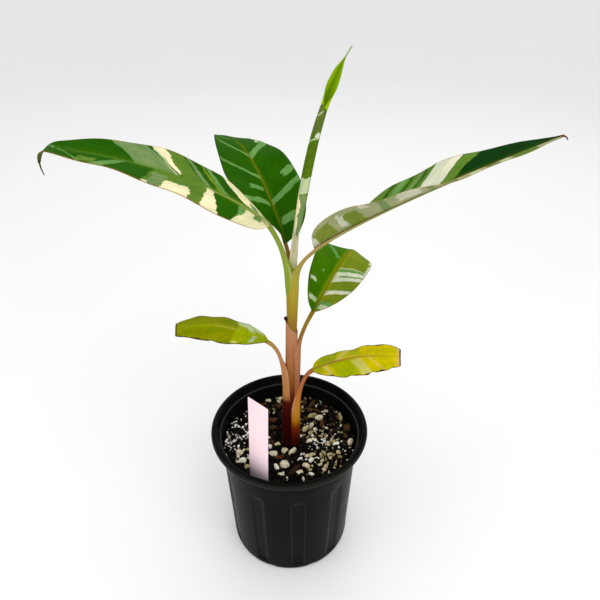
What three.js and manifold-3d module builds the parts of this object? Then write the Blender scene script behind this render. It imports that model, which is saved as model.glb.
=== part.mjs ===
// A young variegated banana plant in a black nursery pot.
// Millimetres, +Z up. The origin is the centre of the pot's flat underside, -Y is the plant's
// front and +X its right. Angles are in degrees, headings are counted from +X towards +Y.
import * as THREE from 'three';
import { mergeVertices } from 'three/addons/utils/BufferGeometryUtils.js';
import Module from 'manifold-3d';

const wasm = await Module();
wasm.setup();

const GAP = 0.3; // kept between pieces that touch
const UP = new THREE.Vector3(0, 0, 1);

// ---- driving dimensions -------------------------------------------------------------------

const POT = {
  height: 116.4,
  floor: 2,
  wall: 1.2,
  base_radius: 47.6,
  base_round: 2.6,
  body_radius: 52.2, // at the collar's lower edge
  collar_bottom: 95.5,
  collar_radius: 53.4,
  collar_top: 108.5,
  lip_radius: 60,
  lip_bottom: 110.2,
  lip_width: 4.2,
  lip_turns: [-60, -25, 10, 45, 80], // headings of the points round the lip's edge
  ledge_radius: 53, // ring inside the rim, where the wall steps in
  ledge_height: 109.6,
};
const FLUTE = {
  count: 10,
  first_panel: -76, // heading where one raised panel starts
  panel: 24, // width of a raised panel
  slope: 2.5, // width of each side of the recess between two panels
  depth: 0.9,
  bottom: 5,
  top: 88,
  fade: 4, // height over which a recess reaches its depth
};
const NOTCH = { count: 9, first: -108, width: 6, height: 2.5, reach: 5 };

// The mix is level round the stem and rises to the wall: radius, and share of the rise there.
const MIX = {
  top: 95,
  rim_rise: 3.4,
  bumps: 0.7,
  calm_radius: 13,
  bump_edge: 50, // the bumps stop short of the wall
  slope: [[44, 1], [34, 0.7], [22, 0.2], [13, 0]],
};

const LABEL = {
  width: 17.9,
  thickness: 0.9,
  top: 176,
  bottom: 73,
  point: 12,
  nose: 3, // width of the blunt end of the point
  x: -24.5,
  y: -40.3,
  heading: -40,
  lean: 1.6,
};

const STEM = {
  foot: MIX.top + GAP,
  foot_x: 0.7,
  lean: 0.0161, // sideways millimetres for each millimetre up
  sides: 14,
  dome: { rise: 1.4, radius: 0.7 }, // rounded top, as a height and a share of the radius below
  // height and radius of the bare stem inside the sheaths
  taper: [[95.3, 4.6], [125, 4.4], [150, 3.7], [168, 3.0], [205, 2.9], [225, 3.0], [243, 3.2]],
};
const OLD_SHEATH = { bottom: 164, top: 219, cut_drop: 22, cut_heading: -20, wall: 0.9, flare: 0.2 };

// The outline all blades share: a round shoulder up to the widest place, then a long taper.
const SHOULDER = 1.0;
const TAPER = { reach: 1.1, point: 0.85 };
const DROOP_START = 0.8; // fraction of a blade's length where its tip starts to hang
const DROOP_POWER = 1.5;
const TIP_HALF_WIDTH = 1.2;
const TAIL = { rows: 4, thick: 0.75, thin: 0.45 }; // thread that hangs from some tips

const BLADE = { thickness: 1.7, edge: 0.55, steps: 48, rows: 24, strips: 3, flat_until: 5 };
// The free part of a petiole has its end radius over its last stretch, from slim_by on.
const PETIOLE = { rows: 16, sides: 10, slim_by: 0.8 };
const RIB = { tip: 0.3, taper: 0.6 }; // how far the rib stands out under the tip, and how it gets there

// One entry per leaf, in the order in which the sheaths lie, from the innermost to the outermost.
// base: where the blade leaves its petiole; heading and veer: plan direction and how far it
// swings by the tip; climb: angle above level at base and tip, reached by the power arch;
// droop: extra hang of the tip; widest: fraction of the length; trimmed: the fraction of the
// natural leaf that is left; roll: turn about the midrib, and fold_left, fold_right: rise of each
// half, at base, middle and tip.
// petiole: foot and fork are the heights where the sheath starts and where it leaves the stem,
// side is the heading it leaves to, offset how far its centre lies off the stem's, radius at
// foot, fork and blade, lift and ease the lengths of the two handles of its bend.
const LEAVES = [
  {
    name: 'right_long',
    base: [17.5, -4, 272], heading: -16.5, veer: 19, climb: [46, 23], arch: 0.44, droop: 0,
    length: 153, half_width: 24, widest: 0.48, trimmed: 1, roll: [-16, 0, -8],
    fold_left: [5, 9, 3], fold_right: [62, 29, 16], tail: 3, tail_turn: 100,
    petiole: { foot: 214, fork: 240, side: -14, offset: 0.7, radius: [3.1, 3.1, 2.0], lift: 16, ease: 13 },
    color: 0x3f6b2c,
  },
  {
    name: 'left_long',
    base: [-10, 0, 286], heading: 178, veer: -12, climb: [58, 0], arch: 0.39, droop: 31,
    length: 154, half_width: 19.7, widest: 0.33, trimmed: 1, roll: [-1, -2, -7],
    fold_left: [-32, 4, 3], fold_right: [-22, 17, 18], tail: 12, tail_turn: 75,
    petiole: { foot: 228, fork: 243, side: 180, offset: 0.6, radius: [3.0, 3.3, 2.2], lift: 15, ease: 14 },
    color: 0x4a7a30,
  },
  {
    name: 'top_young',
    base: [4.4, 3, 265.5], heading: 59, veer: -13, climb: [79, 41], arch: 1.6, droop: 0,
    length: 130, half_width: 15, widest: 0.38, trimmed: 1, roll: [24, 32, 26],
    fold_left: [85, 81, 78], fold_right: [83, 76, 70], tail: 3, tail_turn: 0, rolled: true,
    petiole: { foot: 236, fork: 246, side: 60, offset: 0.5, radius: [2.6, 2.8, 2.2], lift: 8, ease: 8 },
    color: 0x7fa650,
  },
  {
    name: 'back_broad',
    base: [-1.2, 13, 266.6], heading: 115, veer: 6, climb: [45, -30], arch: 1.73, droop: 0,
    length: 128, half_width: 23.3, widest: 0.27, trimmed: 1, roll: [11, -7, 26],
    fold_left: [60, 3, 2], fold_right: [44, 4, -15], tail: 0, tail_turn: 0,
    petiole: { foot: 230, fork: 242, side: 100, offset: 1.2, radius: [2.4, 2.4, 1.5], lift: 12, ease: 10 },
    color: 0x3a6a24,
  },
  {
    name: 'right_middle',
    base: [17.5, 22.3, 206.2], heading: 52, veer: 25, climb: [35, -78], arch: 1.96, droop: 0,
    length: 101, half_width: 21.4, widest: 0.59, trimmed: 1, roll: [14, 19, -4],
    fold_left: [50, 0, -16], fold_right: [34, -17, -13], tail: 0, tail_turn: 0,
    petiole: { foot: 140, fork: 182, side: 20, offset: 2.2, radius: [3.7, 3.3, 1.3], lift: 15, ease: 12 },
    color: 0x4f8a2c,
  },
  {
    name: 'left_lower',
    base: [-14, -0.4, 196.9], heading: 180, veer: 6, climb: [30, -21], arch: 1.64, droop: 0,
    length: 66, half_width: 13.5, widest: 0.35, trimmed: 0.84, roll: [9, -1, -3],
    fold_left: [19, -20, -4], fold_right: [5, -11, 1], tail: 0, tail_turn: 0,
    petiole: { foot: 95.6, fork: 150, side: 180, offset: 1.3, radius: [4.6, 4.0, 1.6], lift: 26, ease: 10 },
    color: 0x93ab28,
  },
  {
    name: 'right_lower',
    base: [17.3, 0.7, 170.2], heading: 3, veer: -1, climb: [24, -16], arch: 1.42, droop: 0,
    length: 65, half_width: 16.4, widest: 0.32, trimmed: 0.86, roll: [-5, -1, 18],
    fold_left: [7, -15, 14], fold_right: [14, -14, -3], tail: 0, tail_turn: 0,
    petiole: { foot: 95.6, fork: 138, side: -12, offset: 1.8, radius: [4.5, 4.3, 1.8], lift: 20, ease: 9 },
    color: 0xb0a81c,
  },
];

// ---- small helpers ------------------------------------------------------------------------

const rad = THREE.MathUtils.degToRad;
const lerp = THREE.MathUtils.lerp;

// Direction with a given heading and climb.
function direction(heading, climb) {
  const flat = Math.cos(rad(climb));
  const [x, y] = [Math.cos(rad(heading)), Math.sin(rad(heading))];
  return new THREE.Vector3(flat * x, flat * y, Math.sin(rad(climb)));
}

// A value given at the start, middle and end of a length, read off a smooth curve.
function along([start, middle, end], s) {
  return start * (1 - s) * (1 - 2 * s) + middle * 4 * s * (1 - s) + end * s * (2 * s - 1);
}

// A height-and-value table read at one height.
function tableAt(table, height) {
  for (let i = 1; i < table.length; i++) {
    const [low, from] = table[i - 1];
    const [high, to] = table[i];
    if (height <= high) return lerp(from, to, THREE.MathUtils.clamp((height - low) / (high - low), 0, 1));
  }
  return table.at(-1)[1];
}

function stemCentre(height) {
  return new THREE.Vector3(STEM.foot_x + STEM.lean * (height - STEM.foot), 0, height);
}

// A closed body over rings of equal point count, with a fan over each end.
function skin(rings) {
  const count = rings[0].length;
  const positions = rings.flat().flatMap((point) => point.toArray());
  const faces = [];
  for (let row = 0; row + 1 < rings.length; row++) {
    for (let i = 0; i < count; i++) {
      const a = row * count + i;
      const b = row * count + ((i + 1) % count);
      faces.push(a, b, b + count, a, b + count, a + count);
    }
  }
  const last = (rings.length - 1) * count;
  for (let i = 1; i + 1 < count; i++) {
    faces.push(0, i + 1, i);
    faces.push(last, last + i, last + i + 1);
  }
  const geometry = new THREE.BufferGeometry();
  geometry.setAttribute('position', new THREE.Float32BufferAttribute(positions, 3));
  geometry.setIndex(faces);
  return geometry;
}

// The geometry as a solid whose faces point outwards.
function solid(geometry) {
  geometry.deleteAttribute('normal');
  geometry.deleteAttribute('uv');
  const merged = mergeVertices(geometry, 1e-4);
  const build = (faces) =>
    new wasm.Manifold(
      new wasm.Mesh({
        numProp: 3,
        vertProperties: merged.attributes.position.array,
        triVerts: new Uint32Array(faces),
      }),
    );
  const faces = Array.from(merged.index.array);
  const made = build(faces);
  return made.volume() > 0 ? made : build(faces.reverse());
}

function geometryOf(body) {
  const mesh = body.getMesh();
  const geometry = new THREE.BufferGeometry();
  geometry.setAttribute('position', new THREE.BufferAttribute(mesh.vertProperties, mesh.numProp));
  geometry.setIndex(new THREE.BufferAttribute(mesh.triVerts, 1));
  return geometry;
}

// The largest of the bodies that a cut leaves.
function mainBody(body) {
  return body.decompose().sort((a, b) => b.volume() - a.volume())[0];
}

// ---- pot ----------------------------------------------------------------------------------

function wallRadius(height) {
  return lerp(POT.base_radius, POT.body_radius, height / POT.collar_bottom);
}

// The wall steps out by its own thickness at the collar.
function innerRadius(height) {
  const collar = height > POT.collar_bottom;
  return (collar ? POT.collar_radius : wallRadius(height)) - POT.wall;
}

// Radius and height down the outside of the pot and back up the inside, from axis to axis.
function potProfile() {
  const lip = (POT.height - POT.lip_bottom) / 2;
  const lipCentre = new THREE.Vector2(POT.lip_radius - lip, POT.lip_bottom + lip);
  const lipRound = POT.lip_turns.map((turn) =>
    new THREE.Vector2(lip * Math.cos(rad(turn)), lip * Math.sin(rad(turn))).add(lipCentre),
  );
  const outside = [
    [0, 0],
    [POT.base_radius - POT.base_round, 0],
    [POT.base_radius, POT.base_round],
    [wallRadius(FLUTE.bottom), FLUTE.bottom],
    [wallRadius(FLUTE.bottom + FLUTE.fade), FLUTE.bottom + FLUTE.fade],
    [wallRadius(FLUTE.top - FLUTE.fade), FLUTE.top - FLUTE.fade],
    [wallRadius(FLUTE.top), FLUTE.top],
    [POT.body_radius, POT.collar_bottom - 0.8],
    [POT.collar_radius - 0.3, POT.collar_bottom],
    [POT.collar_radius, POT.collar_top],
    [POT.collar_radius + 2, POT.lip_bottom - 0.4],
  ];
  const inside = [
    [POT.lip_radius - POT.lip_width, POT.height - 0.6],
    [POT.ledge_radius + 0.9, POT.ledge_height + 0.3],
    [innerRadius(POT.ledge_height), POT.ledge_height - 0.8],
    [innerRadius(POT.collar_bottom + 1), POT.collar_bottom + 1],
    [innerRadius(POT.collar_bottom - 1), POT.collar_bottom - 1],
    [POT.base_radius - POT.wall, POT.floor],
    [0, POT.floor],
  ];
  const points = (list) => list.map(([radius, height]) => new THREE.Vector2(radius, height));
  return [...points(outside), ...lipRound, ...points(inside)];
}

// Headings of one fluted turn: across a raised panel in two steps, then over the recess.
function fluteHeadings() {
  const pitch = 360 / FLUTE.count;
  const steps = [0, FLUTE.panel / 2, FLUTE.panel, FLUTE.panel + FLUTE.slope, pitch - FLUTE.slope];
  const headings = [];
  for (let i = 0; i < FLUTE.count; i++) {
    const start = FLUTE.first_panel + i * pitch;
    steps.forEach((step, k) => headings.push({ heading: start + step, recess: k > 2 }));
  }
  return headings;
}

function fluteDepth(height) {
  const nearEnd = Math.min(height - FLUTE.bottom, FLUTE.top - height);
  return FLUTE.depth * THREE.MathUtils.smoothstep(nearEnd, 0, FLUTE.fade);
}

function potBody() {
  const profile = potProfile();
  const headings = fluteHeadings();
  const lathe = new THREE.LatheGeometry(profile, headings.length);
  const position = lathe.attributes.position;
  const outer = profile.findIndex((point) => point.y === POT.collar_bottom);
  for (let i = 0; i < position.count; i++) {
    const k = i % profile.length;
    const { heading, recess } = headings[Math.floor(i / profile.length) % headings.length];
    const carved = recess && k < outer ? fluteDepth(profile[k].y) : 0;
    const radius = Math.max(profile[k].x - carved, 0);
    position.setXYZ(i, radius * Math.cos(rad(heading)), radius * Math.sin(rad(heading)), profile[k].y);
  }
  let pot = solid(lathe);
  for (let i = 0; i < NOTCH.count; i++) {
    const slot = new THREE.BoxGeometry(2 * NOTCH.reach, NOTCH.width, 2 * NOTCH.height);
    slot.translate(POT.base_radius, 0, 0);
    slot.rotateZ(rad(NOTCH.first + (i * 360) / NOTCH.count));
    pot = pot.subtract(solid(slot));
  }
  return pot;
}

// ---- growing mix and label ----------------------------------------------------------------

function mixBody() {
  const chord = Math.cos(rad(FLUTE.panel / 4)); // the wall's flats lie this much inside its corners
  const inner = (height) => innerRadius(height) * chord - GAP;
  const low = POT.floor + GAP;
  const edge = MIX.top + MIX.rim_rise;
  const profile = [
    [0, low],
    [inner(low) - GAP, low],
    [inner(POT.collar_bottom - 1) - 0.1, POT.collar_bottom - 1.6],
    [inner(edge), POT.collar_bottom + 0.8],
    [inner(edge), edge],
    ...MIX.slope.map(([radius, share]) => [radius, MIX.top + share * MIX.rim_rise]),
    [0, MIX.top],
  ].map(([radius, height]) => new THREE.Vector2(radius, height));
  const lathe = new THREE.LatheGeometry(profile, 30);
  lathe.rotateX(Math.PI / 2);
  const position = lathe.attributes.position;
  for (let i = 0; i < position.count; i++) {
    const [x, y, z] = [position.getX(i), position.getY(i), position.getZ(i)];
    const radius = Math.hypot(x, y);
    const bumpy = z > MIX.top && radius > MIX.calm_radius + 1 && radius < MIX.bump_edge;
    if (bumpy) position.setZ(i, z + MIX.bumps * Math.sin(x * 0.31 + 1) * Math.cos(y * 0.27 - 0.5));
  }
  return solid(lathe).subtract(labelBody(GAP));
}

// The label, or with a gap added all round the slot that it stands in.
function labelBody(gap = 0) {
  const half = LABEL.width / 2 + gap;
  const nose = LABEL.nose / 2 + gap;
  const outline = new THREE.Shape([
    new THREE.Vector2(-half, LABEL.top + gap),
    new THREE.Vector2(-half, LABEL.bottom + LABEL.point),
    new THREE.Vector2(-nose, LABEL.bottom - gap),
    new THREE.Vector2(nose, LABEL.bottom - gap),
    new THREE.Vector2(half, LABEL.bottom + LABEL.point),
    new THREE.Vector2(half, LABEL.top + gap),
  ]);
  const depth = LABEL.thickness + 2 * gap;
  const plate = new THREE.ExtrudeGeometry(outline, { depth, bevelEnabled: false });
  plate.translate(0, 0, -depth / 2);
  plate.rotateX(Math.PI / 2);
  plate.rotateZ(rad(LABEL.heading));
  plate.rotateY(rad(LABEL.lean));
  plate.translate(LABEL.x, LABEL.y, 0);
  return solid(plate);
}

// ---- stem and sheaths ---------------------------------------------------------------------

function ring(centre, across, over, radius, sides) {
  const points = [];
  for (let i = 0; i < sides; i++) {
    const turn = (2 * Math.PI * i) / sides;
    const point = centre.clone().addScaledVector(across, radius * Math.cos(turn));
    points.push(point.addScaledVector(over, radius * Math.sin(turn)));
  }
  return points;
}

function stemBody(gap = 0) {
  const across = new THREE.Vector3(1, 0, 0);
  const over = new THREE.Vector3(0, 1, 0);
  const level = (height, radius) =>
    ring(stemCentre(height), across, over, radius + gap, STEM.sides);
  const rings = STEM.taper.map(([height, radius]) => level(height, radius));
  const [top, radius] = STEM.taper.at(-1);
  rings.push(level(top + STEM.dome.rise + gap, radius * STEM.dome.radius));
  return solid(skin(rings));
}

// A leaf base that was cut back long ago: a thin tube round the stem with a slanting top.
function oldSheathBody(gap = 0) {
  const across = direction(OLD_SHEATH.cut_heading, 0);
  const over = direction(OLD_SHEATH.cut_heading + 90, 0);
  const rings = [];
  for (const [s, flare] of [[0, 0], [0.3, 0], [0.65, 0], [1, OLD_SHEATH.flare]]) {
    const height = lerp(OLD_SHEATH.bottom - gap, OLD_SHEATH.top + gap, s);
    const radius = tableAt(STEM.taper, height) + GAP + OLD_SHEATH.wall + flare + gap;
    const points = ring(stemCentre(height), across, over, radius, STEM.sides);
    const drop = s === 1 ? OLD_SHEATH.cut_drop : 0;
    const centre = stemCentre(height);
    points.forEach((point) => {
      const towardsCut = point.clone().sub(centre).dot(across) / radius;
      point.z -= (drop * (1 + towardsCut)) / 2;
    });
    rings.push(points);
  }
  return solid(skin(rings));
}

// ---- petioles -----------------------------------------------------------------------------

function petiolePath(leaf) {
  const { foot, fork, side, offset, lift, ease } = leaf.petiole;
  const aside = direction(side, 0).multiplyScalar(offset);
  const start = stemCentre(foot).add(aside);
  const leaves = stemCentre(fork).add(aside);
  const forward = direction(leaf.heading, leaf.climb[0]);
  const end = new THREE.Vector3(...leaf.base).addScaledVector(forward, -GAP);
  const path = new THREE.CurvePath();
  path.add(new THREE.LineCurve3(start, leaves));
  path.add(
    new THREE.CubicBezierCurve3(
      leaves,
      leaves.clone().addScaledVector(UP, lift),
      end.clone().addScaledVector(forward, -ease),
      end,
    ),
  );
  return path;
}

function petioleBody(leaf, gap = 0) {
  const path = petiolePath(leaf);
  const total = path.getLength();
  const forkAt = (leaf.petiole.fork - leaf.petiole.foot) / total;
  const slimBy = lerp(forkAt, 1, PETIOLE.slim_by);
  const [footRadius, forkRadius, bladeRadius] = leaf.petiole.radius;
  const rings = [];
  let across = direction(leaf.petiole.side + 90, 0);
  for (let i = 0; i <= PETIOLE.rows; i++) {
    const s = i / PETIOLE.rows;
    const forward = path.getTangentAt(s);
    across = across.clone().addScaledVector(forward, -across.dot(forward)).normalize();
    const over = new THREE.Vector3().crossVectors(forward, across);
    const radius =
      s < forkAt
        ? lerp(footRadius, forkRadius, s / forkAt)
        : lerp(forkRadius, bladeRadius, THREE.MathUtils.smoothstep(s, forkAt, slimBy));
    const centre = path.getPointAt(s);
    const beyond = i === 0 ? -gap : i === PETIOLE.rows ? gap : 0;
    rings.push(ring(centre.addScaledVector(forward, beyond), across, over, radius + gap, PETIOLE.sides));
  }
  return solid(skin(rings));
}

// ---- blades -------------------------------------------------------------------------------

// Half of the blade's width at a fraction of its length.
function halfWidth(leaf, s) {
  const t = s * leaf.trimmed;
  const rise = Math.min(t / leaf.widest, 1);
  const fall = THREE.MathUtils.clamp((t - leaf.widest) / (1 - leaf.widest), 0, 1);
  const shape =
    t < leaf.widest
      ? Math.pow(1 - (1 - rise) ** 2, SHOULDER / 2)
      : Math.pow(Math.cos((Math.PI / 2) * fall ** TAPER.reach), TAPER.point);
  return Math.max(leaf.half_width * shape, TIP_HALF_WIDTH);
}

function bladeClimb(leaf, s) {
  const hang = THREE.MathUtils.clamp((s - DROOP_START) / (1 - DROOP_START), 0, 1);
  return lerp(leaf.climb[0], leaf.climb[1], s ** leaf.arch) - leaf.droop * hang ** DROOP_POWER;
}

// Stations along the midrib: place, direction, and the blade's sideways and upward directions.
function midribStations(leaf) {
  const stations = [];
  const place = new THREE.Vector3(...leaf.base);
  const heading = (s) => leaf.heading + leaf.veer * s;
  for (let i = 0; i <= BLADE.steps; i++) {
    const s = i / BLADE.steps;
    if (i > 0) {
      const before = (i - 0.5) / BLADE.steps;
      place.addScaledVector(direction(heading(before), bladeClimb(leaf, before)), leaf.length / BLADE.steps);
    }
    const forward = direction(heading(s), bladeClimb(leaf, s));
    const level = direction(heading(s) + 90, 0);
    const upward = new THREE.Vector3().crossVectors(forward, level);
    const roll = rad(along(leaf.roll, s));
    const left = level.clone().multiplyScalar(Math.cos(roll)).addScaledVector(upward, Math.sin(roll));
    const normal = new THREE.Vector3().crossVectors(forward, left);
    stations.push({ s, place: place.clone(), forward, left, normal });
  }
  return stations;
}

// The middle surface of the blade at a station, from left margin to right margin.
function sectionLine(leaf, { s, place, left, normal }) {
  const width = halfWidth(leaf, s);
  const flat = Math.min(width / BLADE.flat_until, 1);
  const reach = (sideways, fold, j) => {
    const turn = rad(along(fold, s)) * flat;
    const out = (width * j) / BLADE.strips;
    return place
      .clone()
      .addScaledVector(left, sideways * out * Math.cos(turn))
      .addScaledVector(normal, out * Math.sin(turn));
  };
  const line = [];
  for (let j = BLADE.strips; j > 0; j--) line.push(reach(1, leaf.fold_left, j));
  line.push(place.clone());
  for (let j = 1; j <= BLADE.strips; j++) line.push(reach(-1, leaf.fold_right, j));
  return line;
}

// Gives the section line its thickness, with a rib under the middle, as one closed ring.
function sectionRing(leaf, station, line) {
  const rib = lerp(leaf.petiole.radius[2], RIB.tip, station.s ** RIB.taper);
  const width = halfWidth(leaf, station.s);
  const half = Math.min(BLADE.thickness, 0.9 * width) / 2;
  const above = [];
  const below = [];
  line.forEach((point, i) => {
    const before = line[Math.max(i - 1, 0)];
    const after = line[Math.min(i + 1, line.length - 1)];
    const run = after.clone().sub(before);
    const out = new THREE.Vector3().crossVectors(run, station.forward).normalize();
    const edge = i === 0 || i === line.length - 1 ? BLADE.edge : 1;
    const deeper = i === BLADE.strips ? rib : 0;
    above.push(point.clone().addScaledVector(out, half * edge));
    below.push(point.clone().addScaledVector(out, -half * edge - deeper));
  });
  return [...above, ...below.reverse()];
}

// A thin thread that carries on past the tip and turns down.
function tailRings(leaf, last, size) {
  const rings = [];
  const place = last.place.clone();
  for (let i = 1; i <= TAIL.rows; i++) {
    const climb = bladeClimb(leaf, 1) - (leaf.tail_turn * i) / TAIL.rows;
    const forward = direction(leaf.heading + leaf.veer, climb);
    place.addScaledVector(forward, leaf.tail / TAIL.rows);
    const normal = new THREE.Vector3().crossVectors(forward, last.left).normalize();
    const thin = lerp(TAIL.thick, TAIL.thin, i / TAIL.rows);
    const points = [];
    for (let k = 0; k < size; k++) {
      const turn = Math.PI - (2 * Math.PI * (k + 0.5)) / size;
      const point = place.clone().addScaledVector(last.left, -thin * Math.cos(turn));
      points.push(point.addScaledVector(normal, thin * Math.sin(turn)));
    }
    rings.push(points);
  }
  return rings;
}

function bladeBody(leaf) {
  const every = BLADE.steps / BLADE.rows;
  const stations = midribStations(leaf).filter((station, i) => i % every === 0);
  const rings = stations.map((station) => {
    const line = sectionLine(leaf, station);
    return leaf.rolled ? line : sectionRing(leaf, station, line);
  });
  if (leaf.tail && !leaf.rolled) rings.push(...tailRings(leaf, stations.at(-1), rings[0].length));
  return solid(skin(rings));
}

// ---- assembly -----------------------------------------------------------------------------

const LOOK = {
  pot: { color: 0x16181a, roughness: 0.38 },
  growing_mix: { color: 0x2e2620, roughness: 0.95 },
  plant_label: { color: 0xf1d9e0, roughness: 0.5 },
  pseudostem: { color: 0x8a4a2a, roughness: 0.5 },
  old_sheath: { color: 0xa9765e, roughness: 0.55 },
  petiole: { color: 0xa08a3c, roughness: 0.5 },
};

const plant = new THREE.Group();

function place(name, body, look) {
  const mesh = new THREE.Mesh(geometryOf(body), new THREE.MeshStandardMaterial({ metalness: 0, ...look }));
  mesh.name = name;
  plant.add(mesh);
}

place('pot', potBody(), LOOK.pot);
place('growing_mix', mixBody(), LOOK.growing_mix);
place('plant_label', labelBody(), LOOK.plant_label);
place('pseudostem', stemBody(), LOOK.pseudostem);

// Each sheath lies on what is inside it: everything placed so far, grown by the gap, is cut away.
let inner = stemBody(GAP);
place('old_sheath', mainBody(oldSheathBody().subtract(inner)), LOOK.old_sheath);
inner = inner.add(oldSheathBody(GAP));
for (const leaf of LEAVES) {
  place(`petiole_${leaf.name}`, mainBody(petioleBody(leaf).subtract(inner)), LOOK.petiole);
  inner = inner.add(petioleBody(leaf, GAP));
}
for (const leaf of LEAVES) {
  place(`blade_${leaf.name}`, bladeBody(leaf), { color: leaf.color, roughness: 0.45 });
}

export default plant;
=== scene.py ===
# A young variegated banana plant in a black fluted nursery pot.
# Named sizes are in millimetres and become metres through MM. -Y is the plant's front, +X its
# right. Angles are in degrees, headings are counted from +X towards +Y.
import math
import random

import bmesh
import bpy
from mathutils import Matrix, Vector


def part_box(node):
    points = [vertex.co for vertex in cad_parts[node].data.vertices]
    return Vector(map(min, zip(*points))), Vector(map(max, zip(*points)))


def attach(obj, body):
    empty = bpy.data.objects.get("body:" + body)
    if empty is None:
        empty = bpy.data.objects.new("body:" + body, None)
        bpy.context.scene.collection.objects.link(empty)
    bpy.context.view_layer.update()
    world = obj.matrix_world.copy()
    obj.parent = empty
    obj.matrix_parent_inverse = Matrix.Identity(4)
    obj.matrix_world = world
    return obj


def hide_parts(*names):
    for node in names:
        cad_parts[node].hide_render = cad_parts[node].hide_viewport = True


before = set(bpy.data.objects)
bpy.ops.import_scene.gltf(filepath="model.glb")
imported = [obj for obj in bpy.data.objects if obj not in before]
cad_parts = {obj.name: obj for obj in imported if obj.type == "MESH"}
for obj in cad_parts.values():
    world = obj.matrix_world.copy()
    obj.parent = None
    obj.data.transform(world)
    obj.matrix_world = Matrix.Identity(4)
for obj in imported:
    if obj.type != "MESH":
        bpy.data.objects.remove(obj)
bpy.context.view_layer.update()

MM = 0.001

# ---- sizes --------------------------------------------------------------------------------

POT_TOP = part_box("pot")[1].z / MM
POT_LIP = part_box("pot")[1].x / MM + 0.2
POT = {
    "floor": 2, "wall": 1.0, "base_radius": 47.6, "base_round": 2.6, "body_radius": 52.2,
    "collar_bottom": 95.5, "collar_radius": 53.4, "collar_top": 108.5, "lip_bottom": 110.2,
    "lip_width": 4.2, "ledge_radius": 53, "ledge_height": 109.6, "segments": 240,
}
# Small steps of the pot's profile, each as far out and up as it lies from a corner named above.
COLLAR_FOOT = [(-0.5, -0.5), (-0.1, -0.1), (0, 0.6)]
LIP_ROOT = [(0.9, -0.8), (2.5, -0.2)]
LEDGE = [(1.1, 0.9), (0.3, 0.5), (-0.2, 0)]
# "steps" lead down a panel's side: the degrees that each lies between, and its share of the depth.
FLUTE = {
    "count": 10, "first_panel": -76, "panel": 24, "depth": 0.9, "bottom": 5, "top": 88, "fade": 4,
    "steps": ((0.5, 1.9, 0.55), (1.9, 20, 1)),
}
NOTCH = {"count": 9, "first": -108, "width": 6, "height": 2.5, "reach": 5}
MIX = {
    "top": 95, "rim_rise": 3.4, "radius": 50.6, "level_to": 13, "slope_to": 48, "sides": 96, "rings": 24,
    "ring": 2, "gap": 0.6,
}
LABEL = {
    "width": 17.9, "thickness": 0.7, "top": 176, "bottom": 73, "point": 12, "nose": 3, "x": -24.5,
    "y": -40.3, "heading": -40, "lean": 1.6, "corner": 0.18, "painted_shade_below": 108.5, "painted_shade_fade": 3.5,
}
STEM_FOOT = 95.3
STEM_FOOT_X = 0.7
STEM_LEAN = 0.0161
STEM_SPAN = 150  # the height over which the stem's colours change
STEM_TAPER = [(95.3, 4.6), (125, 4.4), (150, 3.7), (168, 3.0), (205, 2.9), (225, 3.0), (243, 3.2)]
# "dry" is how far below the cut the old leaf base is dry, and "cap" how far it is nearly black.
OLD_SHEATH = {
    "bottom": 138, "top": 217, "rows": 16, "inner": 3.0, "wall": 1.2, "swells": (130, 168),
    "cut_drop": 13, "cut_heading": -20, "width": 8.4, "blunt": 1.2, "axis_x": 2.2, "dry": 0.7, "cap": 3.4,
}
CURL = {
    "radius": 1.75, "height": 3.5, "wall": 0.4, "hollow": 0.6, "pinched": 0.75, "flat": 0.8, "lean": -18,
    "place": (-0.9, -0.9, 215.8),
}

SHOULDER = 1.0
TAPER_REACH = 1.1
TAPER_POINT = 0.85
DROOP_START = 0.8
DROOP_POWER = 1.5
TIP_HALF_WIDTH = 1.2
DRIP_HALF_WIDTH = 0.35
FLAT_UNTIL = 5
BLADE_THICKNESS = 0.55
ROWS = 48
HALF_COLUMNS = 8
WAVE = 2.2  # degrees by which a flat blade's halves rise and fall along it
STALK_SIDES = 28
SHEATH_ROWS = 10
STALK_ROWS = 22
STALK_OVAL = 0.93
CHANNEL = -0.25  # stretches the side of a stalk that faces the stem: 1 is round, below 0 a groove
RIB_END = 0.3
TAIL = {"sides": 8, "rows": 12, "overlap": 3, "straight": 2, "radius": (0.62, 0.3)}

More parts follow.
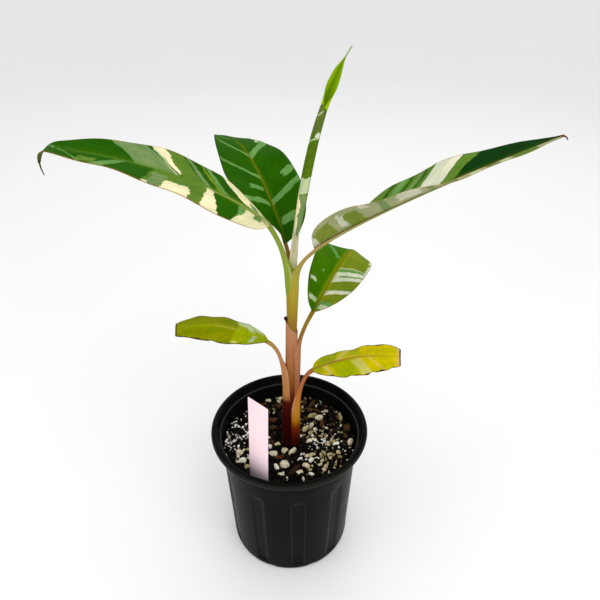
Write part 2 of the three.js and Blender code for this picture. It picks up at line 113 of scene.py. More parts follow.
# One entry per leaf, by the rule that the solids follow. The blade: where it starts, its plan
# heading and veer, its climb at base and tip with the power that shares it out, how far the tip
# droops, its length and half width, the share of the length where it is widest, how much of its
# outline is left ("trimmed"), its roll and the rise of each half at base, middle and tip, and the
# dry thread that it ends in. The stalk: the heights of its foot and fork, its side of the stem and
# distance off it, its radius at foot, fork and blade, and the lengths that lead it off the stem and
# into the blade. Only some leaves have these: "hang", where the droop begins and its power; "taper"
# and "shoulder", the powers that narrow tip and base; "bare", the share of the length before the
# blade; "drip", the shares between which it narrows to a point; "nicks" in a half's margin, as share
# of the length, reach and depth; "scroll", for a rolled blade, the shares between which it opens,
# and each half's rise and roll, rolled and open.
LEAVES = {
    "right_long": {
        "base": (17.5, -4, 272), "heading": -16.5, "veer": 19, "climb": (46, 23), "arch": 0.44,
        "droop": 0, "length": 153, "half_width": 24, "widest": 0.48, "trimmed": 1, "roll": (-16, 0, -8),
        "fold_left": (5, 9, 3), "fold_right": (62, 29, 16), "tail": 3, "tail_turn": 100, "foot": 205,
        "fork": 240, "side": -14, "offset": 0.2, "radius": (3.4, 4.3, 2.3), "lift": 16, "ease": 13,
    },
    "left_long": {
        "base": (-10, 0, 286), "heading": 178, "veer": -12, "climb": (58, 0), "arch": 0.39, "droop": 84,
        "length": 157.5, "half_width": 19.7, "widest": 0.33, "trimmed": 1, "roll": (-1, -2, -7),
        "hang": (0.89, 1.0), "taper": 0.74, "fold_left": (-32, 4, 3), "fold_right": (-22, 15, 2),
        "tail": 8, "tail_turn": 30, "foot": 228, "fork": 243, "side": 180, "offset": 0.8,
        "radius": (2.4, 4.0, 2.6), "lift": 15, "ease": 14,
    },
    "top_young": {
        "base": (4.4, 3, 265.5), "heading": 59, "veer": -13, "climb": (79, 41), "arch": 1.6, "droop": 0,
        "length": 130, "half_width": 13.4, "widest": 0.32, "trimmed": 1, "roll": (24, 32, 26),
        "tail": 0, "bare": 0.09,
        "scroll": {"opens": (0.57, 0.79), "left": ((60, 130), (79, 0)), "right": ((20, 200), (50, 14))},
        "drip": (0.84, 0.97), "shoulder": 0.62, "foot": 236, "fork": 246, "side": 60, "offset": 0.5,
        "radius": (2.6, 3.3, 2.6), "lift": 8, "ease": 8,
    },
    "back_broad": {
        "base": (-1.2, 13, 266.6), "heading": 115, "veer": 6, "climb": (45, -30), "arch": 1.73,
        "droop": 0, "length": 128, "half_width": 23.3, "widest": 0.27, "trimmed": 1,
        "roll": (11, -7, 26), "fold_left": (60, 3, 2), "fold_right": (44, 4, -15), "tail": 0,
        "nicks": {"right": [(0.73, 0.03, 0.2)]}, "foot": 230, "fork": 242, "side": 100, "offset": 1.2,
        "radius": (2.4, 2.4, 1.5), "lift": 12, "ease": 10,
    },
    "right_middle": {
        "base": (17.5, 22.3, 206.2), "heading": 52, "veer": 25, "climb": (35, -78), "arch": 1.96,
        "droop": 0, "length": 101, "half_width": 21.4, "widest": 0.59, "trimmed": 1,
        "roll": (14, 19, -4), "fold_left": (50, 0, -16), "fold_right": (34, -17, -13), "tail": 0,
        "foot": 118, "fork": 182, "side": -15, "offset": 3.7, "radius": (2.4, 3.1, 1.7), "lift": 15,
        "ease": 12,
    },
    "left_lower": {
        "base": (-14, -0.4, 196.9), "heading": 180, "veer": 6, "climb": (30, -21), "arch": 1.64,
        "droop": 0, "length": 66, "half_width": 13.5, "widest": 0.35, "trimmed": 0.84,
        "roll": (9, -1, -3), "fold_left": (19, -20, -4), "fold_right": (5, -11, 1), "tail": 0,
        "nicks": {"left": [(0.6, 0.04, 0.06)]}, "foot": 95.6, "fork": 150, "side": 196, "offset": 2.3,
        "radius": (5.4, 4.0, 2.3), "lift": 26, "ease": 10,
    },
    "right_lower": {
        "base": (17.3, 0.7, 170.2), "heading": 3, "veer": -1, "climb": (24, -16), "arch": 1.42,
        "droop": 0, "length": 65, "half_width": 16.4, "widest": 0.32, "trimmed": 0.86,
        "roll": (-5, -1, 18), "fold_left": (7, -15, 14), "fold_right": (14, -14, -3), "tail": 0,
        "nicks": {"right": [(0.41, 0.04, 0.08), (0.66, 0.05, 0.12), (0.9, 0.05, 0.1)],
                  "left": [(0.34, 0.05, 0.06)]},
        "foot": 95.6, "fork": 128, "side": -18, "offset": 2.9, "radius": (4.8, 4.3, 2.3), "lift": 20,
        "ease": 9,
    },
}

# ---- colours ------------------------------------------------------------------------------


def shade(red, green, blue):
    """A screen colour from 0 to 255 as the linear colour that a shader takes."""
    def linear(part):
        part /= 255
        return part / 12.92 if part <= 0.04045 else ((part + 0.055) / 1.055) ** 2.4
    return (linear(red), linear(green), linear(blue), 1)


TINT = {
    "dark": shade(34, 86, 0), "deep": shade(2, 50, 0), "leaf": shade(60, 110, 0),
    "mid": shade(86, 122, 40), "olive": shade(112, 132, 26), "light": shade(98, 146, 76),
    "sage": shade(108, 136, 82), "pale": shade(158, 164, 120), "mint": shade(180, 198, 156),
    "cream": shade(232, 224, 182), "white": shade(206, 210, 186), "leek": shade(92, 126, 2),
    "fresh": shade(150, 190, 6), "fern": shade(76, 106, 2), "reed": shade(88, 106, 40),
    "lime": shade(148, 164, 2), "moss": shade(122, 132, 0), "gold": shade(190, 178, 0),
    "straw": shade(190, 188, 100), "peach": shade(206, 168, 108), "brown": shade(72, 36, 12),
    "rib": shade(118, 106, 12), "rust": shade(150, 98, 44), "maroon": shade(84, 26, 18),
    "pink": shade(216, 176, 160), "under": shade(150, 164, 110),
}


def splash(tint, start, end, lean=0, inner=0, outer=1):
    """One splash on a blade, of its variegation and in places of painted highlight: its tint, where it
    starts and ends beside the midrib, how far it leans towards the tip by the margin (both edges
    alike, or one number for each), and the shares of the half's width that it lies between."""
    leans = lean if isinstance(lean, tuple) else (lean, lean)
    return {"tint": tint, "start": start, "end": end, "lean": leans, "inner": inner, "outer": outer}


# For each blade the ground colour of its halves, left then right, the tints of its rib and of its
# edge at base and tip, the sweep of its side veins, and the splashes on each half, later ones on
# top. Only some have these: the rib's half width in millimetres, the strength and tint of the glow
# beside it, and the strengths of rim, underside and scorched end.
SKINS = {
    "left_long": {
        "ground": ("dark", "dark"), "rib": "mid", "edge": ("rust", "rust"), "sweep": 0.1,
        "left": [splash("light", 0.1, 0.142), splash("cream", -0.1, 0.1, lean=(0, 0.055)),
                 splash("sage", 0.04, 0.075, inner=0.1, outer=0.45),
                 splash("mid", 0.28, 0.485, lean=(0, 0.02)),
                 splash("cream", 0.256, 0.282, lean=(-0.05, 0)),
                 splash("cream", 0.33, 0.425, inner=0.5), splash("cream", 0.42, 0.5, inner=0.9),
                 splash("sage", 0.43, 0.48, inner=0.2),
                 splash("light", 0.592, 0.622, lean=(0.055, 0.085), inner=0.05),
                 splash("mid", 0.69, 0.77, inner=0.45, outer=0.9),
                 # painted highlight: the pale curve across the curled tip, where its fold catches the
                 # light
                 splash("light", 0.872, 0.884, lean=-0.13)],
        "right": [splash("cream", -0.1, 0.1, lean=0.15),
                  splash("sage", 0.05, 0.085, lean=0.03, inner=0.1, outer=0.75),
                  splash("light", 0.19, 0.213, lean=0.11), splash("olive", 0.213, 0.228, lean=0.12),
                  splash("sage", 0.262, 0.286, lean=0.12), splash("mid", 0.288, 0.37, lean=0.13),
                  splash("sage", 0.395, 0.555, lean=(0.17, 0.14)),
                  splash("cream", 0.374, 0.378, lean=(0.115, 0.168), inner=0.1),
                  splash("mint", 0.392, 0.4, lean=0.15, outer=0.85),
                  # painted highlight: the same pale curve where it crosses into this half
                  splash("light", 0.88, 0.892, lean=0.06)],
    },
    "right_long": {
        "ground": ("dark", "pale"), "rib": "rust", "edge": ("pink", "rust"), "rim": 0.35, "sweep": 0.13,
        "left": [splash("mid", 0.1, 0.44, lean=0.13), splash("dark", 0.25, 0.272, lean=0.12),
                 splash("light", 0.29, 0.325, lean=0.12), splash("dark", 0.34, 0.352, lean=0.12),
                 splash("sage", 0.37, 0.39, lean=0.12), splash("dark", 0.405, 0.418, lean=0.12),
                 splash("white", 0.37, 0.47, inner=0.12, outer=0.3),
                 splash("white", 0.44, 0.548, lean=0.125), splash("mid", 0.548, 0.605, lean=0.13),
                 splash("deep", 0.605, 1.1, lean=0.13)],
        "right": [splash("olive", 0.035, 0.13, inner=0.1, outer=0.85), splash("white", -0.1, 0.035),
                  splash("white", 0.15, 0.18, lean=0.03, inner=0.2, outer=0.85),
                  splash("olive", 0.195, 0.26, outer=0.75), splash("white", 0.28, 0.31, inner=0.75),
                  splash("sage", 0.33, 0.36, lean=0.02),
                  splash("white", 0.4, 0.485, lean=0.02, inner=0.35), splash("sage", 0.52, 0.545),
                  splash("sage", 0.59, 0.62), splash("mint", 0.66, 0.7), splash("mid", 0.72, 0.76),
                  splash("mint", 0.77, 0.8), splash("mid", 0.81, 0.9)],
    },
    "top_young": {
        "ground": ("fern", "fresh"), "rib": "pale", "rib_width": 0.1, "edge": ("leek", "leek"),
        "sweep": 0.05, "under": 0.03,
        "left": [splash("sage", 0.09, 0.3), splash("mint", 0.28, 0.35, lean=0.03, inner=0.4),
                 splash("cream", -0.1, 0.09), splash("cream", 0.08, 0.4, lean=(0, -0.2), outer=0.66),
                 splash("mint", 0.1, 0.125, inner=0.85), splash("mint", 0.5, 0.507, lean=0.05),
                 splash("mint", 0.545, 0.553, lean=0.05), splash("white", 0.55, 0.58, inner=0.85),
                 splash("reed", 0.57, 0.7), splash("mint", 0.6, 0.606, lean=0.06, inner=0.6),
                 splash("fresh", 0.69, 1.1), splash("mint", 0.94, 1.1)],
        "right": [splash("cream", -0.1, 0.09), splash("sage", 0.09, 0.28), splash("mint", 0.28, 0.35),
                  splash("fern", 0.35, 0.5), splash("reed", 0.5, 0.675), splash("mint", 0.94, 1.1)],
    },
    "back_broad": {
        "ground": ("dark", "dark"), "rib": "rib", "edge": ("maroon", "maroon"), "sweep": 0.16,
        "left": [splash("light", 0.2, 0.235, lean=0.05, inner=0.1, outer=0.85),
                 splash("light", 0.28, 0.31, lean=0.1, inner=0.1, outer=0.5),
                 splash("light", 0.36, 0.383, lean=0.22, outer=0.97),
                 splash("mid", 0.385, 0.395, lean=0.2, inner=0.3),
                 splash("light", 0.53, 0.555, lean=0.32, outer=0.8),
                 splash("mid", 0.7, 0.73, lean=0.2, inner=0.2, outer=0.9)],
        "right": [splash("light", 0.09, 0.13, lean=0.02, inner=0.1, outer=0.65),
                  splash("light", 0.205, 0.24, lean=0.08),
                  splash("light", 0.3, 0.34, lean=0.06, inner=0.6, outer=0.97),
                  splash("light", 0.51, 0.56, lean=0.12),
                  splash("mint", 0.6, 0.63, lean=0.08, inner=0.7)],
    },
    "right_middle": {
        "ground": ("leaf", "olive"), "rib": "rib", "rib_width": 1.0, "edge": ("rust", "maroon"),
        "sweep": 0.14, "glow": 0.7, "glow_tint": "lime",
        "left": [splash("mint", 0.06, 0.09, lean=0.01, inner=0.25, outer=0.9),
                 splash("mint", 0.195, 0.22, inner=0.6, outer=0.85),
                 splash("light", 0.29, 0.31, inner=0.4, outer=0.5),
                 splash("light", 0.43, 0.47, lean=0.2, inner=0.15, outer=0.7)],
        "right": [splash("light", 0.02, 0.1), splash("mint", 0.03, 0.07, inner=0.3),
                  splash("white", 0.13, 0.17, lean=0.09), splash("light", 0.17, 0.178, lean=0.09),
                  splash("white", 0.24, 0.35, lean=0.16),
                  splash("light", 0.29, 0.305, lean=0.15, inner=0.2),
                  splash("light", 0.345, 0.372, lean=0.16), splash("mint", 0.38, 0.392, lean=0.16),
                  splash("white", 0.5, 0.85, inner=0.9)],
    },
    "left_lower": {
        "ground": ("moss", "moss"), "rib": "lime", "edge": ("brown", "brown"), "sweep": 0.14,
        "scorch": 0,
        "left": [splash("lime", -0.1, 0.36, lean=0.05),
                 splash("mint", 0.12, 0.17, lean=0.06, inner=0.2, outer=0.9),
                 splash("straw", 0.34, 0.4, inner=0.82)],
        "right": [splash("lime", -0.1, 0.34), splash("mint", 0.03, 0.3, lean=0.05, inner=0.5),
                  splash("mint", 0.14, 0.2, lean=0.08, inner=0.15)],
    },
    "right_lower": {
        "ground": ("gold", "gold"), "rib": "rust", "edge": ("brown", "brown"), "sweep": 0.14,
        "left": [splash("lime", 0.04, 0.26, lean=0.06), splash("straw", 0.26, 0.32, lean=0.12),
                 splash("lime", 0.36, 0.5, lean=0.1, inner=0.3)],
        "right": [splash("lime", -0.1, 0.12), splash("straw", 0.12, 0.16, lean=0.06),
                  splash("lime", 0.18, 0.42, lean=0.1),
                  splash("straw", 0.42, 0.54, lean=0.12, inner=0.1),
                  splash("peach", 0.62, 0.64, lean=0.18)],
    },
}

# Colours up each stalk: 0 is its foot, 1 the fork, 2 the blade's base and 3 its tip.
STALK_TINTS = {
    "right_long": [(0, (128, 100, 34)), (0.5, (160, 134, 36)), (1, (164, 150, 44)),
                   (1.4, (160, 158, 60)), (1.9, (168, 142, 78)), (2.15, (156, 154, 92)),
                   (3, (132, 142, 76))],
    "left_long": [(0, (112, 142, 32)), (1, (126, 156, 38)), (1.5, (140, 164, 50)), (2, (126, 154, 44)),
                  (3, (88, 120, 30))],
    "top_young": [(0, (186, 190, 148)), (1, (202, 204, 172)), (2, (212, 212, 182)),
                  (3, (138, 158, 66))],
    "back_broad": [(0, (122, 96, 36)), (1, (118, 84, 32)), (2, (118, 100, 28)), (3, (112, 110, 24))],
    "right_middle": [(0, (112, 52, 34)), (0.5, (150, 92, 66)), (1, (172, 112, 80)),
                     (1.5, (158, 116, 46)), (2, (136, 118, 28)), (3, (114, 104, 22))],
    "left_lower": [(0, (34, 0, 0)), (0.5, (54, 4, 2)), (0.87, (74, 14, 6)), (0.93, (150, 100, 48)),
                   (1.02, (182, 124, 78)), (1.5, (190, 138, 88)), (2, (172, 146, 60)),
                   (3, (160, 162, 24))],
    "right_lower": [(0, (44, 2, 0)), (0.35, (78, 14, 2)), (0.66, (124, 42, 4)), (0.9, (186, 122, 14)),
                    (1.1, (196, 136, 44)), (1.45, (190, 116, 60)), (2, (176, 104, 44)),
                    (3, (150, 88, 24))],
}

# ---- shader maths -------------------------------------------------------------------------


class Value:
    """A shader socket that holds a number, so that an expression on it adds its Math nodes."""

    def __init__(self, finish, socket):
        self.finish = finish
        self.socket = socket

    def math(self, operation, first, second=None):
        inputs = {0: first} if second is None else {0: first, 1: second}
        return self.finish.node("ShaderNodeMath", {"operation": operation}, inputs)

    def __add__(self, other):
        return self.math("ADD", self, other)

    def __sub__(self, other):
        return self.math("SUBTRACT", self, other)

    def __mul__(self, other):
        return self.math("MULTIPLY", self, other)

    def __truediv__(self, other):
        return self.math("DIVIDE", self, other)

    def __pow__(self, other):
        return self.math("POWER", self, other)

    def __radd__(self, other):
        return self.math("ADD", other, self)

    def __rsub__(self, other):
        return self.math("SUBTRACT", other, self)

    def __rmul__(self, other):
        return self.math("MULTIPLY", other, self)

    def __rtruediv__(self, other):
        return self.math("DIVIDE", other, self)

    def __abs__(self):
        return self.math("ABSOLUTE", self)

    def sine(self):
        return self.math("SINE", self)

    def least(self, other):
        return self.math("MINIMUM", self, other)

    def above(self, edge, soft):
        """0 below the edge and 1 above it, over a soft step."""
        settings = {"interpolation_type": "SMOOTHSTEP"}
        inputs = {"Value": self, "From Min": edge - soft, "From Max": edge + soft}
        return self.finish.node("ShaderNodeMapRange", settings, inputs)


def socket_name(word):
    return word.replace("_", " ").title().replace("Ior", "IOR")


class Finish:
    """One node material, put together from expressions."""

    def __init__(self, name, roughness=0.5, **constants):
        self.material = bpy.data.materials.new(name)
        self.material.use_nodes = True
        self.tree = self.material.node_tree
        self.shader = self.tree.nodes["Principled BSDF"]
        self.shader.inputs["Roughness"].default_value = roughness
        for socket, value in constants.items():
            self.shader.inputs[socket_name(socket)].default_value = value

    def feed(self, socket, value):
        if isinstance(value, Value):
            self.tree.links.new(value.socket, socket)
        else:
            socket.default_value = value

    def node(self, kind, settings=None, inputs=None, output=0):
        node = self.tree.nodes.new(kind)
        for name, value in (settings or {}).items():
            if name == "stops":
                self.set_stops(node.color_ramp, value)
            else:
                setattr(node, name, value)
        for name, value in (inputs or {}).items():
            self.feed(node.inputs[name], value)
        return Value(self, node.outputs[output])

    def set_stops(self, ramp, stops):
        for place, _ in stops[2:]:
            ramp.elements.new(place)
        for element, (place, colour) in zip(ramp.elements, stops):
            element.position = place
            element.color = colour

    def parts(self, vector):
        separate = self.tree.nodes.new("ShaderNodeSeparateXYZ")
        self.feed(separate.inputs[0], vector)
        return [Value(self, output) for output in separate.outputs]

    def place(self):
        return self.node("ShaderNodeTexCoord", output="Object")

    def attribute(self, name, output="Vector"):
        return self.node("ShaderNodeAttribute", {"attribute_name": name}, output=output)

    def vector(self, x, y, z):
        return self.node("ShaderNodeCombineXYZ", {}, {0: x, 1: y, 2: z})

    def noise(self, vector, scale, detail=3, output="Fac"):
        inputs = {"Vector": vector, "Scale": scale, "Detail": detail}
        return self.node("ShaderNodeTexNoise", {}, inputs, output)

    def mix(self, amount, first, second, blend="MIX"):
        settings = {"data_type": "RGBA", "blend_type": blend}
        return self.node("ShaderNodeMix", settings, {0: amount, 6: first, 7: second}, 2)

    def shaded(self, colour, amount, low, high):
        """A colour multiplied by a tint that goes from low to high."""
        return self.mix(1, colour, self.mix(amount, low, high), "MULTIPLY")

    def ramp(self, value, stops):
        return self.node("ShaderNodeValToRGB", {"stops": stops}, {"Fac": value}, "Color")

    def bump(self, height, distance, strength=1.0):
        inputs = {"Height": height, "Distance": distance, "Strength": strength}
        self.feed(self.shader.inputs["Normal"], self.node("ShaderNodeBump", {}, inputs))

    def set(self, **sockets):
        for name, value in sockets.items():
            self.feed(self.shader.inputs[socket_name(name)], value)
        return self.material


# ---- finishes -----------------------------------------------------------------------------

SPLASH_EDGE = 0.0028  # half of the soft step at a splash's edge, as a share of the blade's length
FADED_EDGE = 0.014  # the same on a leaf that yellows
SPLASH_SIDE = 0.03  # the same across the blade, as a share of its half width
OTHER_HALF = 7.3  # sets the left half's patterns apart from the right half's
VEINS = 5.2  # radians of the side veins' sine wave for each millimetre along a blade
RIB_WIDTH = 0.36  # half widths of the rib and of the glow beside it, as shares of the stalk's radius
GLOW_WIDTH = 1.3


def splash_mask(mark, along, reach, uneven, soft):
    """1 inside one splash and 0 outside it."""
    start, end = [along - lean * reach if lean else along for lean in mark["lean"]]
    mask = start.above(mark["start"], soft) - end.above(mark["end"], soft)
    if mark["inner"] > 0:
        mask = mask * (reach + uneven).above(mark["inner"], SPLASH_SIDE)
    if mark["outer"] < 1:
        mask = mask * (1 - (reach + uneven).above(mark["outer"], SPLASH_SIDE))
    return mask


def blade_finish(name):
    """Splashes of variegation lie along the lateral veins, which sweep from midrib to margin."""
    skin = SKINS[name]
    leaf = LEAVES[name]
    yellowing = "lower" in name
    look = Finish(f"{name}_blade_skin", roughness=0.5, specular_ior_level=0.01)
    along, across, distance = look.parts(look.attribute("leaf"))
    underside = look.attribute("underside", "Fac")
    reach = abs(across)
    off = abs(distance)
    left = across.above(0, 0.001)
    half = left * OTHER_HALF
    sweep = along - skin["sweep"] * reach
    fineness = leaf["length"] / 150
    lobes = look.noise(look.vector(sweep * (18 * fineness), reach * 3, half), 1, 2)
    teeth = look.noise(look.vector(sweep * (16 * fineness), reach * 20, half + 2), 1, 3)
    wavy = along + (lobes - 0.5) * 0.03 + (teeth - 0.5) * 0.014
    uneven = (look.noise(look.vector(sweep * (40 * fineness), reach * 2, half + 4), 1, 2) - 0.5) * 0.4
    sides = []
    for side, ground in zip(("left", "right"), skin["ground"]):
        colour = TINT[ground]
        for mark in skin[side]:
            mask = splash_mask(mark, wavy, reach, uneven, FADED_EDGE if yellowing else SPLASH_EDGE)
            colour = look.mix(mask * 0.8 if yellowing else mask, colour, TINT[mark["tint"]])
        sides.append(colour)
    colour = look.mix(left, sides[1], sides[0])
    tone = look.noise(look.vector(sweep * (60 * fineness), reach * 1.4, half + 9), 1, 3).above(0.5, 0.3)
    cloud = look.noise(look.vector(sweep * (9 * fineness), reach * 2, half + 3), 1, 2).above(0.5, 0.2)
    colour = look.shaded(colour, tone, (0.84, 0.88, 0.8, 1), (1.08, 1.05, 1.1, 1))
    colour = look.shaded(colour, cloud, (0.9, 0.94, 0.9, 1), (1.2, 1.1, 1.1, 1))
    streak = look.noise(look.vector(sweep * (150 * fineness), reach * 1.6, half + 5), 1, 2)
    streak = streak.above(0.68, 0.06) * (0.12 if yellowing else 0.07)
    colour = look.mix(streak, colour, TINT["straw" if yellowing else "light"])
    veins = (sweep * (leaf["length"] * VEINS)).sine()
    colour = look.shaded(colour, veins * 0.5 + 0.5, (0.98, 0.985, 0.98, 1), (1.04, 1.03, 1.04, 1))
    colour = look.mix(underside * skin.get("under", 0.08 if yellowing else 0.16), colour, TINT["under"])
    stalk = leaf["radius"][2]
    rib = 1 - off.above(skin.get("rib_width", stalk * RIB_WIDTH) * MM, 0.0002)
    glow = (1 - off.above(stalk * GLOW_WIDTH * MM, 0.0016)) * skin.get("glow", 0.3)
    glow = glow * along.above(0.08, 0.06) * (1 - along * 0.9)
    colour = look.mix(glow, colour, TINT[skin.get("glow_tint", "lime" if yellowing else "leek")])
    colour = look.mix(rib * (1 - along ** 2) * 0.85, colour, TINT[skin["rib"]])
    rim = reach.above(1 - 0.35 / leaf["half_width"], 0.012)
    edge_tint = look.mix(along.above(0.14, 0.06), TINT[skin["edge"][0]], TINT[skin["edge"][1]])
    colour = look.mix(rim * skin.get("rim", 0.6), colour, edge_tint)
    if yellowing:
        blemish = look.noise(look.vector(along * 11, across * 3, 4), 1, 4)
        edge_dry = (reach + (blemish - 0.5) * 0.5 + along * 0.06).above(1.02, 0.03)
        end_dry = (along + (blemish - 0.5) * 0.04).above(0.984, 0.006)
        scorch = (along + (blemish - 0.5) * 0.1).above(0.95, 0.03)
        colour = look.mix(scorch * skin.get("scorch", 0.5), colour, TINT["peach"])
        colour = look.mix(edge_dry.least(1 - end_dry) + end_dry, colour, TINT["brown"])
        fleck = look.noise(look.vector(along * 40, across * 14, 1), 1, 2).above(0.74, 0.03)
        colour = look.mix(fleck * 0.45, colour, TINT["rust"])
    elif "drip" not in leaf:
        colour = look.mix(along.above(0.985, 0.012) * 0.8, colour, TINT["maroon"])
    grain = look.noise(look.vector(sweep * 220, reach * 8, half), 1, 2)
    look.bump(veins * 0.35 + grain * 0.5 + (1 - rib) * 0.3, 0.0003, 0.5)
    return look.set(base_color=colour, roughness=grain * 0.14 + 0.4)


def stalk_finish(name):
    """Fleshy stalk: colour climbs from the foot to the tip, with fine lines along it."""
    look = Finish(f"{name}_stalk_skin", roughness=0.4, specular_ior_level=0.08)
    climb, round_it, _ = look.parts(look.attribute("stalk"))
    lines = look.noise(look.vector(climb * 1.6, round_it * 44, 0), 1, 3)
    mottle = look.noise(look.place(), 160, 3)
    stops = [(place / 3, shade(*tint)) for place, tint in STALK_TINTS[name]]
    colour = look.ramp(climb / 3 + (mottle - 0.5) * 0.02, stops)
    colour = look.shaded(colour, lines.above(0.5, 0.2), (1.1, 1.1, 1, 1), (0.82, 0.72, 0.7, 1))
    lip = round_it.above(0.5, 0.03) * (1 - round_it.above(0.6, 0.04)) * climb.above(1.05, 0.1)
    colour = look.mix(lip * 0.4, colour, TINT["pink"])
    look.bump(lines + mottle * 0.3, 0.00025, 0.5)
    return look.set(base_color=colour, roughness=mottle * 0.15 + 0.33)


def stem_finish():
    look = Finish("stem_core_skin", roughness=0.45, specular_ior_level=0.08)
    _, _, height = look.parts(look.place())
    mottle = look.noise(look.place(), 140, 3)
    up = (height / MM - MIX["top"]) / STEM_SPAN + (mottle - 0.5) * 0.06
    colour = look.ramp(up, [(0, shade(34, 4, 2)), (0.3, shade(62, 12, 8)), (0.42, shade(110, 62, 14)),
                            (0.8, shade(150, 132, 50)), (1, shade(160, 168, 80))])
    look.bump(mottle, 0.0002, 0.5)
    return look.set(base_color=colour)


def old_sheath_finish():
    """Dull pinkish brown, reddish where it dries along the slanting cut and nearly black at its top."""
    look = Finish("old_sheath_skin", roughness=0.55, specular_ior_level=0.08)
    x, _, height = look.parts(look.place())
    lines = look.noise(look.vector(x * 900, height * 25, 0), 1, 3)
    up = (height / MM - OLD_SHEATH["bottom"]) / (OLD_SHEATH["top"] - OLD_SHEATH["bottom"])
    stops = [(0, shade(66, 10, 6)), (0.16, shade(98, 40, 14)), (0.34, shade(136, 88, 30)),
             (0.58, shade(166, 108, 66)), (0.95, shade(184, 128, 96))]
    colour = look.ramp(up + (lines - 0.5) * 0.1, stops)
    slant = OLD_SHEATH["cut_drop"] / OLD_SHEATH["width"]
    cut = OLD_SHEATH["top"] - OLD_SHEATH["cut_drop"] / 2
    below_cut = cut - (height / MM + slant * (x / MM - OLD_SHEATH["axis_x"]))
    dry = 1 - (below_cut + (lines - 0.5) * 1.2).above(OLD_SHEATH["dry"], 0.5)
    cap = (height / MM).above(OLD_SHEATH["top"] - OLD_SHEATH["cap"], 0.5)
    colour = look.mix(dry * 0.6, colour, shade(96, 40, 30))
    colour = look.mix(cap * 0.9, colour, shade(38, 20, 16))
    colour = look.mix(lines.above(0.58, 0.05) * 0.25, colour, TINT["maroon"])
    look.bump(lines, 0.0003, 0.5)
    return look.set(base_color=colour)


def pot_finish():
    """Injection-moulded black plastic: a faint mould texture, dust, and painted highlights on its edges.
    """
    look = Finish("black_pot_plastic", roughness=0.32, specular_ior_level=0.03)
    x, y, height = look.parts(look.place())
    dust = look.noise(look.place(), 45, 4)
    grain = look.noise(look.place(), 900, 2)
    scuff = look.noise(look.vector(x * 60, y * 60, height * 400), 1, 3).above(0.64, 0.06)
    colour = look.mix(dust.above(0.55, 0.2) * 0.6, shade(9, 9, 8), shade(24, 21, 18))
    colour = look.mix(scuff * 0.14, colour, shade(50, 46, 42))
    # Painted highlight: thin paler lines along each raised panel's sides, where the flute edges catch the
    # light.
    pitch = 360 / FLUTE["count"]
    around = y.math("ARCTAN2", y, x) * (180 / math.pi) - FLUTE["first_panel"]
    around = around.math("FLOORED_MODULO", around, pitch)
    off_edge = abs(around - FLUTE["panel"]).least(around.least(pitch - around))
    fluted = (height / MM).above(FLUTE["bottom"] + 3, 2) - (height / MM).above(FLUTE["top"] - 3, 2)
    flute_highlight = (1 - off_edge.above(0.3, 0.25)) * fluted
    colour = look.mix(flute_highlight * 0.4, colour, shade(62, 60, 56))
    # Painted highlights: a thin pale ring on the inner ledge and a paler band round the outer lip.
    radius = (x * x + y * y) ** 0.5
    ledge = 1 - abs(radius / MM - POT["ledge_radius"] - 0.2).above(0.35, 0.3)
    ledge = ledge * (height / MM).above(109, 0.5)
    lip = (radius / MM).above(POT_LIP - 0.9, 0.4)
    colour = look.mix(ledge * 0.6, colour, shade(64, 68, 66))
    colour = look.mix(lip * 0.25, colour, shade(60, 60, 56))
    look.bump(grain, 0.00012, 0.35)
    return look.set(base_color=colour, roughness=dust * 0.2 + scuff * 0.12 + 0.24)


def label_finish():
    look = Finish("label_plastic", roughness=0.45, specular_ior_level=0.15)
    _, _, height = look.parts(look.place())
    speckle = look.noise(look.place(), 260, 3)
    # Painted shade: the label greys towards its foot, where the pot's rim shades it, with a speckled
    # edge.
    low = 1 - (height / MM + (speckle - 0.5) * 3).above(LABEL["painted_shade_below"], LABEL["painted_shade_fade"])
    colour = look.mix(look.noise(look.place(), 30, 2), shade(250, 226, 231), shade(247, 219, 226))
    colour = look.mix(low * 0.3, colour, shade(176, 172, 176))
    look.bump(speckle, 0.00008, 0.3)
    return look.set(base_color=colour)


def crumb_finish(name, pale, deep, scale, roughness):
    """Grains and crumbs: two tones in pores and grime, rough all over."""
    look = Finish(name, roughness=roughness, specular_ior_level=0.06)
    tone = look.noise(look.place(), scale, 4)
    grime = look.noise(look.place(), 140, 2)
    colour = look.mix(tone.above(0.5, 0.22), deep, pale)
    colour = look.mix(grime.above(0.55, 0.15) * 0.35, colour, deep)
    look.bump(tone, 0.0006, 0.8)
    return look.set(base_color=colour)


def floor_finish():
    look = Finish("pale_floor", roughness=0.6)
    cloud = look.noise(look.place(), 3, 2)
    return look.set(base_color=look.mix(cloud, (0.86, 0.86, 0.86, 1), (0.9, 0.9, 0.9, 1)))


# ---- modelling by hand --------------------------------------------------------------------


def edit(piece):
    """Goes into edit mode on one piece, with nothing selected."""
    bpy.ops.object.select_all(action="DESELECT")
    bpy.context.view_layer.objects.active = piece
    piece.select_set(True)
    bpy.ops.object.mode_set(mode="EDIT")
    bpy.ops.mesh.select_mode(type="VERT")
    bpy.ops.mesh.select_all(action="DESELECT")


def done():
    bpy.ops.object.mode_set(mode="OBJECT")


def pick(piece, numbers):
    """Selects only these vertices."""
    bpy.ops.mesh.select_all(action="DESELECT")
    mesh = bmesh.from_edit_mesh(piece.data)
    mesh.verts.ensure_lookup_table()
    for number in numbers:
        mesh.verts[number].select = True
    mesh.select_flush(True)


def pick_where(piece, test):
    """Selects only the vertices whose place passes a test."""
    bpy.ops.mesh.select_all(action="DESELECT")
    mesh = bmesh.from_edit_mesh(piece.data)
    for vertex in mesh.verts:
        vertex.select = test(vertex.co)
    mesh.select_flush(True)


def turn(degrees, axis, centre):
    """Turns the selection; with no window the operator turns the other way."""
    bpy.ops.transform.rotate(value=-math.radians(degrees), orient_axis=axis, center_override=centre)


